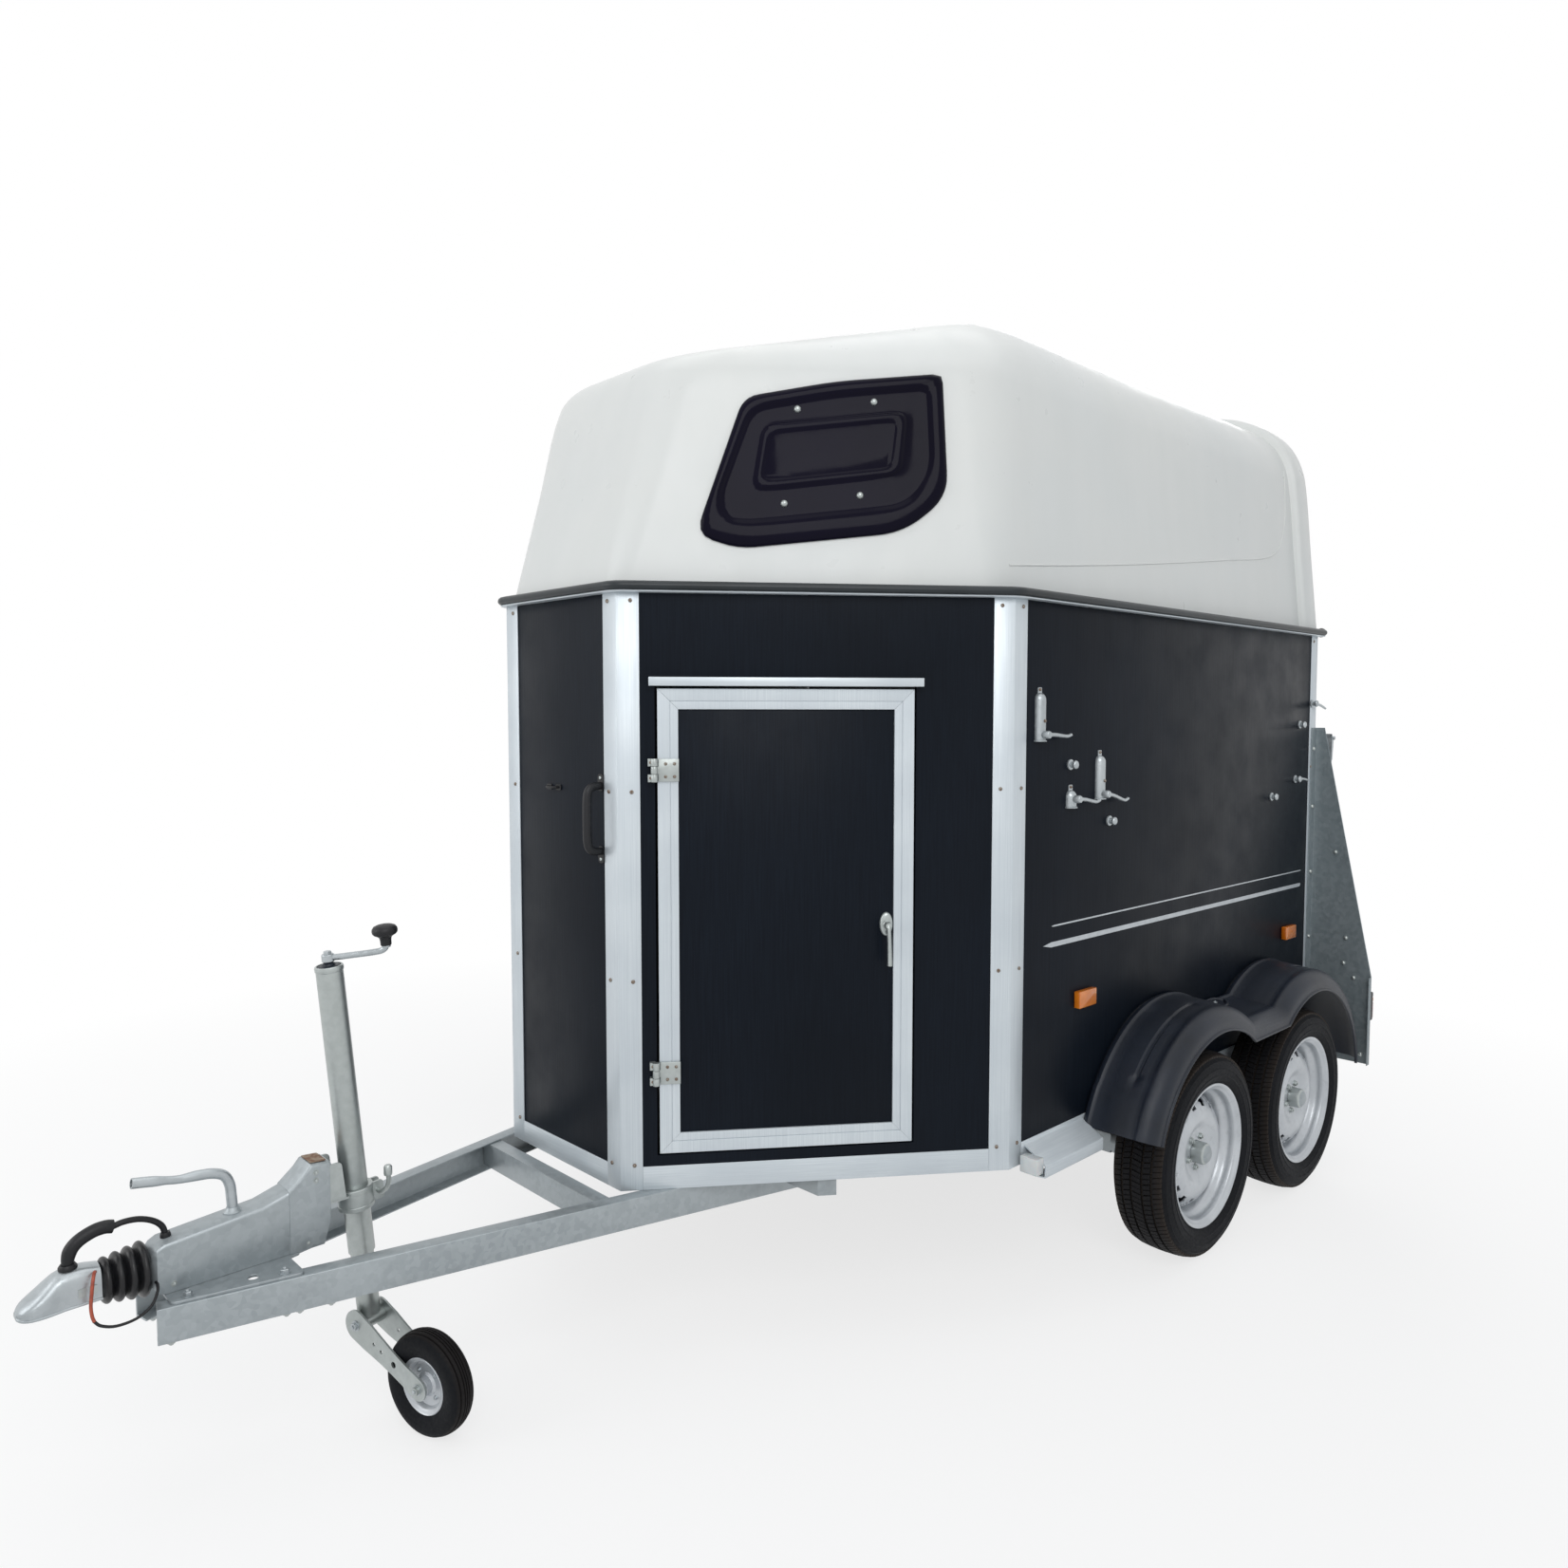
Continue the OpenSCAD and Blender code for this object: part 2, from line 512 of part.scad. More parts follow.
// Hood window in the slanted wall: corners along the wall and above the hood's foot, with their radii
WINDOW = [[196, 120, 50], [306, 88, 40], [730, 138, 70], [848, 236, 60], [842, 560, 22],
    [560, 528, 60], [322, 478, 40]];
window_lean = atan((HOOD[2][3] - HOOD[0][3])/HOOD[2][1]);
pane_lip = 22;
module window_outline(d) offset(delta = d) polygon(joined([for (i = [0 : len(WINDOW) - 1])
    let (p = WINDOW[i], before = WINDOW[(i + len(WINDOW) - 1)%len(WINDOW)], next = WINDOW[(i + 1)%len(WINDOW)],
        q = [p.x, p.y], a = q + p[2]*([before.x, before.y] - q)/norm([before.x, before.y] - q),
        b = q + p[2]*([next.x, next.y] - q)/norm([next.x, next.y] - q))
    [for (k = [0 : 4]) let (t = k/4) (1 - t)*(1 - t)*a + 2*t*(1 - t)*q + t*t*b]]));
// Upright against the hood's slanted wall: x along it, y up its slope, z outwards
module on_hood_wall() on_chamfer() translate([0, HOOD[0][3], hood_z]) rotate([90 - window_lean, 0, 0]) children();
module hood() color(hood_white) in_place() difference() {
    hood_shell();
    both_sides() on_hood_wall() translate([0, 0, -60]) linear_extrude(120) window_outline(-pane_lip);
}
module hood_windows() color([0.2, 0.12, 0.22]) in_place() both_sides() on_hood_wall()
    translate([0, 0, seat]) linear_extrude(pane_t) window_outline(0);

// Groom's door: a panel in an aluminium frame on two hinges at its front edge

door_low = wall_z + door_z;
door_out = 6;
leaf_t = wall_t - 2;
pin_s = door_s - 8;
pin_out = 17;
knuckle_r = 9;
hinge_h = 58;
// Height of each hinge's lower end
door_hinge_z = [713, 1478];
module door_leaf() color(panel_blue) in_place() on_chamfer()
    box([door_s + door_frame_w, 0, door_low + door_frame_w],
        [door_s + door_w - door_frame_w, leaf_t, door_low + door_h - door_frame_w]);
module door_frame() color(aluminium) in_place() on_chamfer() difference() {
    box([door_s, -door_out, door_low], [door_s + door_w, wall_t, door_low + door_h]);
    box([door_s + door_frame_w, -door_out - 1, door_low + door_frame_w],
        [door_s + door_w - door_frame_w, wall_t + 1, door_low + door_h - door_frame_w]);
}
module door_hinges() color(aluminium) in_place() on_chamfer() for (z = door_hinge_z) {
    translate([pin_s, -pin_out, z + hinge_h/3 + knuckle_gap/2]) difference() {
        union() {
            cylinder(h = hinge_h/3 - knuckle_gap, r = knuckle_r);
            box([0, knuckle_r - 4, 0], [door_s - pin_s + 2, knuckle_r, hinge_h/3 - knuckle_gap]);
        }
        translate([0, 0, -1]) cylinder(h = hinge_h, r = door_pin_r + fit);
    }
    box([door_s + 2, -pin_out + knuckle_r - 4, z + knuckle_gap/2], [door_s + 53, -door_out, z + hinge_h - knuckle_gap/2]);
}
module door_hinge_leaves() color(aluminium) in_place() on_chamfer() for (z = door_hinge_z)
    translate([pin_s, -pin_out, z]) {
        for (h = [0, hinge_h*2/3 + knuckle_gap/2]) translate([0, 0, h])
            cylinder(h = hinge_h/3 - knuckle_gap/2, r = knuckle_r);
        cylinder(h = hinge_h, r = door_pin_r);
        for (h = [0, hinge_h*2/3 + knuckle_gap/2])
            box([-16, 0, h], [-2, pin_out, h + hinge_h/3 - knuckle_gap/2]);
    }
lock_s = 681;
lock_z = 1002;
lock_h = 150;
module door_lock() color(aluminium) in_place() on_chamfer() {
    box([lock_s - 24, -door_out - 8, lock_z], [lock_s + 24, -door_out, lock_z + lock_h]);
    translate([lock_s, -door_out - 8, lock_z + 105]) rotate([90, 0, 0]) cylinder(h = 24, r = 16);
    rod([lock_s, -door_out - 26, lock_z + 105], [lock_s - 98, -door_out - 26, lock_z + 96], 10);
}
module rain_strip() color(aluminium) in_place() on_chamfer()
    box([door_s - 21, -22, door_low + door_h + door_gap], [door_s + door_w + 21, 0, door_low + door_h + door_gap + 22]);

// Ramp, hinged to the rear sill

ramp_frame_w = 46;
ramp_top = ramp_z + ramp_h;
slat_count = 11;
slat_t = 12;
module ramp_panel() color(panel_blue) in_place()
    box([ramp_x - ramp_t + 4, -ramp_w/2 + ramp_frame_w, ramp_z + ramp_frame_w],
        [ramp_x - 4, ramp_w/2 - ramp_frame_w, ramp_top - ramp_frame_w]);
module ramp_frame() color(aluminium) in_place() {
    difference() {
        box([ramp_x - ramp_t, -ramp_w/2, ramp_z], [ramp_x, ramp_w/2, ramp_top]);
        box([ramp_x - ramp_t - 1, -ramp_w/2 + ramp_frame_w, ramp_z + ramp_frame_w],
            [ramp_x + 1, ramp_w/2 - ramp_frame_w, ramp_top - ramp_frame_w]);
    }
    for (y = ramp_hinges) difference() {
        union() {
            wheel_axis(ramp_axis_x, y - ramp_knuckle_l/2, ramp_axis_z) cylinder(h = ramp_knuckle_l, r = ramp_knuckle_r);
            box([ramp_axis_x - ramp_knuckle_r, y - ramp_knuckle_l/2, ramp_axis_z],
                [ramp_axis_x + ramp_knuckle_r, y + ramp_knuckle_l/2, ramp_z + 2]);
        }
        wheel_axis(ramp_axis_x, y - ramp_knuckle_l, ramp_axis_z) cylinder(h = 2*ramp_knuckle_l, r = ramp_pin_r + fit);
    }
}
module ramp_slats() color(rubber) in_place() for (i = [1 : slat_count])
    translate([ramp_x - 4, -ramp_w/2 + ramp_frame_w + 20, ramp_z + i*(ramp_h - 60)/(slat_count + 1) + 20])
        cube([slat_t, ramp_w - 2*ramp_frame_w - 40, 28]);
catch_z = 1472;
catch_h = 118;
module ramp_catches() color(galvanised) in_place() both_sides() {
    box([ramp_x - ramp_t - 8, ramp_w/2 - 60, catch_z - 10], [ramp_x - ramp_t, ramp_w/2 - 10, catch_z + catch_h + 10]);
    rod([ramp_x - ramp_t, ramp_w/2 - 35, catch_z + 14], [-body_l - tail_reach + 9, ramp_w/2 - 35, catch_z + 14], 9);
    rod([-body_l - tail_reach + 9, ramp_w/2 - 35, catch_z], [-body_l - tail_reach + 9, ramp_w/2 - 35, catch_z + catch_h], 9);
}

// Fittings on the walls

grab_foot_r = 12;
grab_y = nose_w/2 - trim_w - grab_foot_r - 1;
grab_z = 1300;
grab_h = 166;
grab_out = 45;
grab_foot = 6;
module grab_handle() color(black) in_place() {
    tube_along(bend([[grab_foot, grab_y, grab_z], [grab_out, grab_y, grab_z], [grab_out, grab_y, grab_z + grab_h],
        [grab_foot, grab_y, grab_z + grab_h]], 24, 5), 11);
    for (z = [grab_z, grab_z + grab_h]) translate([0, grab_y, z]) rotate([0, 90, 0])
        cylinder(h = grab_foot, r = grab_foot_r);
}
// Spring levers that drop the inside bars: plate, lever from and to, each as distance behind the
// front panel and height
LEVERS = [
    // plate x, plate z, plate height, lever x, lever z, end x, end z
    [936, 1574, 130, 936, 1640, 1054, 1591],
    [1244, 1405, 126, 1244, 1440, 1365, 1394],
    [1093, 1388, 50, 1093, 1413, 1208, 1403],
];
KNOBS = [[1091, 1508], [1303, 1339]];
// Knobs near the rear, as distance ahead of the box's rear end and height
REAR_KNOBS = [[382, 1354], [176, 1410], [146, 1612], [44, 1691]];
lever_w = 44;
lever_out = 30;
module release_levers() color(galvanised) in_place() both_sides() {
    for (row = LEVERS) {
        box([-row[0] - lever_w/2, half_w, row[1]], [-row[0] + lever_w/2, half_w + 5, row[1] + row[2]]);
        rod([-row[3], half_w, row[4]], [-row[3], half_w + lever_out + 6, row[4]], 12);
        rod([-row[3], half_w + lever_out, row[4]], [-row[5], half_w + lever_out, row[6]], 8);
    }
    for (row = concat(KNOBS, [for (k = REAR_KNOBS) [body_l - k[0], k[1]]])) {
        y = row[0] > body_l - trim_w ? half_w + trim_t : half_w;
        translate([-row[0], y, row[1]]) rotate([-90, 0, 0]) cylinder(h = 16, r = 13);
    }
}
// Sloping step plates ahead of the mudguards
step_x = [890, 1180];
step_z = wall_z + 50;
module side_steps() color(aluminium) in_place() both_sides() translate([-step_x[1], half_w + trim_t, 0])
    rotate([90, 0, 90]) linear_extrude(step_x[1] - step_x[0])
        polygon([[0, step_z], [0, step_z - 5], [66, step_z - 45], [66, step_z - 75], [0, step_z - 110], [0, step_z - 114],
            [70, step_z - 79], [70, step_z - 40]]);
module front_marker_lamps() color("White") in_place() both_sides()
    box([-step_x[0], half_w + trim_t + 8, step_z - 62], [-step_x[0] + 34, half_w + trim_t + 62, step_z - 18]);
marker_x = [1175, 2588];
marker_z = 842;
module side_marker_lamps() color([1, 0.55, 0]) in_place() both_sides() for (x = marker_x)
    box([-x - 45, half_w, marker_z - 24], [-x + 45, half_w + 20, marker_z + 24]);

// Rear wing plates with the tail lamps

wing_x = -body_l;
wing_in = half_w + trim_t + seat;
wing_flange = 40;
wing_wide = 330;
module rear_wings() color(galvanised) in_place() both_sides() {
    translate([wing_x, 0, 0]) rotate([90, 0, -90]) linear_extrude(wing_t)
        polygon([[wing_in, wing_low_z], [wing_y, wing_low_z], [wing_y, wing_low_z + wing_wide], [wing_in + 34, wing_top_z],
            [wing_in, wing_top_z]]);
    box([wing_x, wing_in, wing_low_z + 110], [wing_x + wing_flange, wing_in + wing_t, wing_top_z]);
    translate([wing_x, 0, 0]) box([-wing_t, wing_y - wing_t, wing_low_z], [22, wing_y, wing_low_z + wing_wide]);
}
module tail_lamps() color([0.7, 0.05, 0.04]) in_place() both_sides()
    box([wing_x - wing_t - 42, wing_y - 100, 507], [wing_x - wing_t, wing_y, 614]);

// Mudguards: a skin swept along both wheel arches and the dip between them

// Section of the guard: distance from the middle line, height over the lip, and the same inside
guard_in = half_w + seat;
GUARD = [[guard_in, guard_face_h + 24], [guard_y - 42, guard_face_h + 10], [guard_y - 12, guard_face_h - 4],
    [guard_y, guard_face_h - 22], [guard_y, 0]];
GUARD_INSIDE = [[guard_y - guard_t, 0], [guard_y - guard_t, guard_face_h - 24],
    [guard_y - 14, guard_face_h - 10], [guard_y - 44, guard_face_h + 10 - guard_t],
    [guard_in, guard_face_h + 24 - guard_t]];
ARCH_STEPS = 12;
guard_front_a = 20;
guard_rear_a = 172;
function dip_angle(h) = 180 - asin((guard_dip_z + h*0.95 - tyre_r)/(guard_lip_r + h));
// A point of the guard's path, at height h over the lip, for step i of both arches
function guard_point(i, h) = let (r = guard_lip_r + h, low = dip_angle(h))
    i <= ARCH_STEPS
    ? let (a = guard_front_a + (low - guard_front_a)*i/ARCH_STEPS) [-axle_x + r*cos(a), tyre_r + r*sin(a)]
    : let (a = 180 - low + (guard_rear_a - 180 + low)*(i - ARCH_STEPS - 1)/ARCH_STEPS)
        [-axle_x - axle_gap + r*cos(a), tyre_r + r*sin(a)];
module guard() {
    section = concat(GUARD, GUARD_INSIDE);
    n = len(section);
    rows = 2*ARCH_STEPS + 2;
    points = [for (i = [0 : rows - 1]) for (s = section) let (p = guard_point(i, s[1])) [p.x, s[0], p.y]];
    sides = joined([for (i = [0 : rows - 2]) for (j = [0 : n - 1]) let (k = (j + 1)%n)
        quad(i*n + j, i*n + k, (i + 1)*n + k, (i + 1)*n + j)]);
    ends = joined([for (j = [0 : n/2 - 2]) concat(
        quad(j, n - 1 - j, n - 2 - j, j + 1),
        quad((rows - 1)*n + j, (rows - 1)*n + j + 1, (rows - 1)*n + n - 2 - j, (rows - 1)*n + n - 1 - j))]);
    polyhedron(points = points, faces = concat(sides, ends));
}
// Room for the sill strip, the rear profile and the wing plate's flange behind the guard's inner edge
module guard_notches() {
    box([-body_l + trim_w - 1, guard_in - 1, wall_z - 1], [-nose_l, half_w + trim_t + seat, wall_z + sill_h + seat]);
    box([-body_l - 1, guard_in - 1, wall_z - sill_h], [-body_l + trim_w + seat, half_w + trim_t + seat, wall_top]);
    box([wing_x - 1, guard_in - 1, wing_low_z], [wing_x + wing_flange + seat, wing_in + wing_t + seat, wall_top]);
}
module notched_guard() difference() {
    guard();
    guard_notches();
}
module mudguard_left() color(black) in_place() notched_guard();
module mudguard_right() color(black) in_place() mirror([0, 1, 0]) notched_guard();

// Overrun device on the drawbar's middle line

housing_w = 74;
housing_z = wall_z;
plate_t = 6;
clamp_z = jockey_z + 20;
module on_tube() translate([jockey_x, 0, jockey_z]) rotate([0, jockey_lean, 0]) children();
module overrun_housing() color(galvanised) in_place() {
    translate([0, housing_w/2, 0]) rotate([90, 0, 0]) linear_extrude(housing_w)
        polygon([[1000, housing_z + plate_t], [1010, 470], [1010, 530], [985, 552], [790, 570], [735, 588], [700, 620], [688, 634],
            [640, 630], [640, 560], [660, housing_z + plate_t]]);
    difference() {
        translate([0, 0, housing_z]) linear_extrude(plate_t)
            polygon([[985, beam_out(985) - 2], [740, beam_out(740) - 2], [740, -beam_out(740) + 2],
                [985, -beam_out(985) + 2]]);
        translate([700, 0, housing_z - 1]) cylinder(h = plate_t + 2, r = 12);
    }
    difference() {
        on_tube() translate([0, 0, 20]) cylinder(h = 130, r = jockey_tube_r + 10);
        on_tube() translate([0, 0, -1]) cylinder(h = 200, r = jockey_tube_r + fit);
    }
    difference() {
        box([jockey_x + 20, -26, clamp_z + 4], [642, 26, clamp_z + 110]);
        on_tube() translate([0, 0, -30]) cylinder(h = 300, r = jockey_tube_r + 5);
    }
}
bellows_x = [1010.3, 1098];
bellows_z = 500;
fold_count = 5;
module bellows() color(rubber) in_place() translate([bellows_x[0], 0, bellows_z]) rotate([0, 90, 0]) {
    fold = (bellows_x[1] - bellows_x[0])/fold_count;
    rotate_extrude() polygon(concat([[26.5, 0]], joined([for (i = [0 : fold_count - 1])
        [[44, i*fold], [56, (i + 0.3)*fold], [56, (i + 0.7)*fold], [44, (i + 1)*fold]]]),
        [[26.5, fold*fold_count]]));
}
head_r = 38;
neck_z = bellows_z;
ball_x = nose_reach - head_r;
module coupling_head() color(galvanised) in_place() {
    difference() {
        union() {
            translate([ball_x, 0, ball_z - 24]) cylinder(h = 24 + 46, r = head_r);
            translate([0, 30, 0]) rotate([90, 0, 0]) linear_extrude(60)
                polygon([[1100, 468], [ball_x, 456], [ball_x, 524], [1165, 548], [1100, 540]]);
        }
        translate([ball_x, 0, ball_z]) sphere(ball_r);
        translate([ball_x, 0, ball_z - 30]) cylinder(h = 30, r = ball_r);
    }
    translate([bellows_x[0], 0, bellows_z]) rotate([0, 90, 0]) cylinder(h = 1102 - bellows_x[0], r = 26);
}
module coupling_handle() color(black) in_place()
    tube_along(bend([[1150, 0, 546.5], [1144.6, 0, 590], [1106, 0, 610], [1068, 0, 604]], 24, 4), 13);
module handbrake_lever() color(galvanised) in_place()
    tube_along(bend([[841, 0, 565.6], [848.4, 0, 645.3], [1036, 0, 684]], 42, 6), 11);

module brake_cables() color(rubber) in_place() {
    tube_along(bend([[1067.3, 0, 603.9], [1036, 0, 604], [978.3, 0, 590], [975, 0, 553.3]], 26, 4), 6.5, 8);
    tube_along(bend([[1004, housing_w/2 + seat, 480], [1004, 58, 480], [1020, 72, 450], [1080, 72, 432],
        [1120, 60, 450], [1124, 54, 480], [1124, 30 + seat, 480]], 16, 3), 3, 8, [1, 1, 2]);
}

// Jockey wheel: the outer tube in its clamp, the crank on top, and the swivelling inner tube with its fork

tube_top = 594;
tube_low = -95;
rod_low = -250;
module jockey_tube() color(galvanised) in_place() on_tube() {
    difference() {
        translate([0, 0, tube_low]) cylinder(h = tube_top - tube_low, r = jockey_tube_r);
        translate([0, 0, tube_low - 1]) cylinder(h = tube_top - tube_low, r = jockey_rod_r + fit);
    }
    translate([0, 0, tube_top]) cylinder(h = 12, r = jockey_tube_r - 4);
}
crank_l = 136;
module jockey_crank() color(galvanised) in_place() on_tube() translate([0, 0, tube_top + 12]) {
    cylinder(h = 34, r = 14);
    rotate([0, 0, 136]) {
        translate([0, 0, 20]) rotate([0, 90, 0]) cylinder(h = crank_l, r = 7);
        translate([crank_l, 0, 8]) rotate_extrude() polygon([[0, 0], [11, 0], [11, 22], [20, 28], [24, 36], [22, 44],
            [14, 49], [0, 51]]);
    }
}
fork_x = jockey_x + rod_low*sin(jockey_lean);
fork_z = jockey_z + rod_low*cos(jockey_lean) - 18;
arm_gap = jockey_wheel_w/2 + clear;
arm_t = 5;
jockey_pin_r = 10;
// Along the fork: x away from the tube, y to its left, from a point below the inner tube
module on_fork() translate([fork_x, 0, 0]) rotate([0, 0, jockey_turn]) children();
module jockey_fork() color(galvanised) in_place() {
    on_tube() translate([0, 0, rod_low]) cylinder(h = 60 - rod_low, r = jockey_rod_r);
    on_fork() {
        translate([0, arm_gap + arm_t, fork_z]) rotate([90, 0, 0]) cylinder(h = 2*(arm_gap + arm_t), r = 30);
        for (y = [-arm_gap, arm_gap + arm_t]) translate([0, y, 0]) rotate([90, 0, 0]) linear_extrude(arm_t) {
            translate([0, fork_z]) circle(30);
            translate([jockey_trail, jockey_wheel_r]) circle(22);
            polygon([[8, fork_z + 29], [jockey_trail + 7, jockey_wheel_r + 21], [jockey_trail - 7, jockey_wheel_r - 21],
                [-8, fork_z - 29]]);
        }
        translate([jockey_trail, arm_gap + arm_t + 6, jockey_wheel_r]) rotate([90, 0, 0])
            cylinder(h = 2*(arm_gap + arm_t + 6), r = jockey_pin_r);
    }
}
module at_jockey_wheel() on_fork() translate([jockey_trail, 0, jockey_wheel_r]) rotate([90, 0, 0]) children();
jockey_rim_r = 78;
module jockey_tyre() color(rubber) in_place() at_jockey_wheel() rotate_extrude() {
    w = jockey_wheel_w/2;
    r = jockey_wheel_r;
    polygon([[jockey_rim_r, -w*0.7], [r*0.8, -w], [r*0.93, -w*0.86], [r, -w*0.45], [r, w*0.45], [r*0.93, w*0.86],
        [r*0.8, w], [jockey_rim_r, w*0.7]]);
}
module jockey_rim() color(aluminium) in_place() at_jockey_wheel() rotate_extrude() {
    w = jockey_wheel_w/2;
    polygon([[jockey_pin_r + fit, -w], [24, -w], [30, -6], [60, -4], [jockey_rim_r - 6, -w*0.8],
        [jockey_rim_r - seat, -w*0.8], [jockey_rim_r - seat, w*0.8], [jockey_rim_r - 6, w*0.8], [60, 4], [30, 6],
        [24, w], [jockey_pin_r + fit, w]]);
}

// Inside: the partition between the two stalls, its posts, and the breast and breech bars

post_front_x = -900;
post_rear_x = -body_l + 246;
partition_z = 880;
partition_top = 1760;
module partition_posts() color(galvanised) in_place() for (x = [post_front_x, post_rear_x]) {
    translate([x, 0, mat_top]) cylinder(h = rail_top - mat_top, r = post_r);
    translate([x, 0, mat_top]) cylinder(h = 8, r = 60);
}
module partition_panel() color(panel_blue) in_place()
    box([post_rear_x + post_r + seat, -partition_t/2, partition_z], [post_front_x - post_r - seat, partition_t/2, partition_top]);
module stall_bars() color(galvanised) in_place() both_sides() for (x = [post_front_x, post_rear_x]) {
    translate([x, post_r + seat, bar_z]) rotate([-90, 0, 0])
        cylinder(h = half_w - wall_t - post_r - 2*seat, r = bar_r);
}

drawbar_left();
drawbar_right();
chassis_frame();
rear_sill();
axle_front();
axle_rear();
floor();
floor_mat();
front_panel();
chamfer_panel_left();
chamfer_panel_right();
side_panel_left();
side_panel_right();
corner_profiles();
sill_trim();
rim_rail();
hood();
hood_windows();
rain_strip();
door_hinge_leaves();
grab_handle();
release_levers();
side_steps();
front_marker_lamps();
side_marker_lamps();
tail_lamps();
rear_wings();
mudguard_left();
mudguard_right();
overrun_housing();
bellows();
coupling_head();
coupling_handle();
handbrake_lever();
brake_cables();
jockey_tube();
jockey_crank();
partition_panel();
partition_posts();
stall_bars();
door_leaf();
door_frame();
door_hinges();
door_lock();
ramp_panel();
ramp_frame();
ramp_slats();
ramp_catches();
jockey_fork();
jockey_tyre();
jockey_rim();
tyre_front_left();
tyre_front_right();
tyre_rear_left();
tyre_rear_right();
rim_front_left();
rim_front_right();
rim_rear_left();
rim_rear_right();
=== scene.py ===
# %% [markdown]
# A two-horse trailer. Its frame, walls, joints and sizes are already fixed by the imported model, so this
# lesson only dresses it: it takes each plain solid, gives it the edges, small parts and finish of the
# real one, and lets it ride on the same body. All lengths are metres, +X points to the coupling.

import json
import math

import bmesh
import bpy
from mathutils import Matrix, Vector


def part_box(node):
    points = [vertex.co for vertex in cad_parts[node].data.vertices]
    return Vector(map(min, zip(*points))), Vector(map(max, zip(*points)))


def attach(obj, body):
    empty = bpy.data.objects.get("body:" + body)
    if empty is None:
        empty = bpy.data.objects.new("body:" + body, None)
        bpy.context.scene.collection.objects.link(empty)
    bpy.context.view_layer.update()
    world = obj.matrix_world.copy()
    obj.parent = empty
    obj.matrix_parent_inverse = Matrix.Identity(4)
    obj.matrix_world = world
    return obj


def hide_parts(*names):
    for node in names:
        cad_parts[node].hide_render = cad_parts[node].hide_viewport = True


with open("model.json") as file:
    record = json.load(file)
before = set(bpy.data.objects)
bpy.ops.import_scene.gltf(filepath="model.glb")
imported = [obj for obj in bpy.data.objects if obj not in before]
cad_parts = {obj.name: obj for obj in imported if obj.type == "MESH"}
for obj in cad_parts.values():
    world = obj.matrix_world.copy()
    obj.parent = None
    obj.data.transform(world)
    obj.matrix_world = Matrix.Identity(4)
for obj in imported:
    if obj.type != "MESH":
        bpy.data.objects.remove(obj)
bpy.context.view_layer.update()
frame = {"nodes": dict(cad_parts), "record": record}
body_of = {node: body for body, nodes in frame["record"]["behaviour"]["bodies"].items() for node in nodes}

# %% [markdown]
# The walls give the places for everything that is fixed to them. The trailer's nose has slanted corners,
# so a point on the slanted wall is easiest to say as a distance along it, one out of it and a height.

# %% Measure the walls
front_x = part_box("front_panel")[1].x
nose_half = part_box("front_panel")[1].y
half_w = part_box("side_panel_left")[1].y
side_front_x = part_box("side_panel_left")[1].x
rear_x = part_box("corner_profiles")[0].x
wall_low, wall_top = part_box("side_panel_left")[0].z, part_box("side_panel_left")[1].z

corner_b = Vector((front_x, nose_half, 0))
corner_c = Vector((side_front_x, half_w, 0))
slant_along = (corner_c - corner_b).normalized()
slant_out = Vector((slant_along.y, -slant_along.x, 0))
slant_l = (corner_c - corner_b).length
UP, LEFT, AHEAD = Vector((0, 0, 1)), Vector((0, 1, 0)), Vector((1, 0, 0))


def on_slant(s, out, z):
    """A point on the left slanted wall: s back from the front corner, out of the wall, z above ground."""
    return corner_b + slant_along * s + slant_out * out + UP * z


def wall_corners(front, slant, side):
    """The two left corners of the walls' outline, with each wall moved out by so much."""
    bx, cy = front_x + front, half_w + side
    edge = slant_out.dot(corner_b) + slant
    return (Vector((bx, (edge - slant_out.x * bx) / slant_out.y)),
            Vector(((edge - slant_out.y * cy) / slant_out.x, cy)))


print("front wall at", round(front_x, 3), "slanted wall", round(slant_l, 3), "long")

# %% [markdown]
# A product photograph on white: the camera stands ahead and to the left of the trailer at eye height and
# uses a wide lens. Its place was found from the corners that can be recognised in the picture.

# %% Place the camera
camera_yaw, camera_pitch = math.radians(226.2006), math.radians(3.3717)
camera_data = bpy.data.cameras.new("camera")
camera_data.lens = 25.64
camera = bpy.data.objects.new("camera", camera_data)
bpy.context.scene.collection.objects.link(camera)
look = Vector((math.cos(camera_yaw) * math.cos(camera_pitch), math.sin(camera_yaw) * math.cos(camera_pitch),
               -math.sin(camera_pitch)))
camera.location = (2.451, 2.5398, 1.6361)
camera.rotation_euler = look.to_track_quat("-Z", "Y").to_euler()
bpy.context.scene.camera = camera
print("camera", tuple(round(v, 2) for v in camera.location))

# %% [markdown]
# A finish is a Principled surface with a few texture nodes in front of it. The small class below keeps
# each material short: a noise or a cell pattern on the object's own coordinates, which then tints the
# colour, spreads the roughness or lifts the surface. A noise is written as its scale and detail, and a
# third value stretches it. Coordinates are metres, so a scale of 60 gives a pattern of about 15 mm.

# %% A short way to write a material
def linear(code):
    """A colour written as in a picture, such as "8090a0", as the numbers that light adds up in."""
    parts = [int(code[i:i + 2], 16) / 255 for i in (0, 2, 4)]
    return tuple(p / 12.92 if p <= 0.04045 else ((p + 0.055) / 1.055) ** 2.4 for p in parts) + (1.0,)


class Graph:
    """A node tree with a short way to add a node, its settings and what feeds it."""

    def __init__(self, tree):
        self.nodes, self.links = tree.nodes, tree.links

    def add(self, kind, inputs=(), **settings):
        made = self.nodes.new(kind)
        for key, value in settings.items():
            setattr(made, key, value)
        for socket, value in dict(inputs).items():
            if isinstance(value, bpy.types.NodeSocket):
                self.links.new(value, made.inputs[socket])
            else:
                made.inputs[socket].default_value = value
        return made


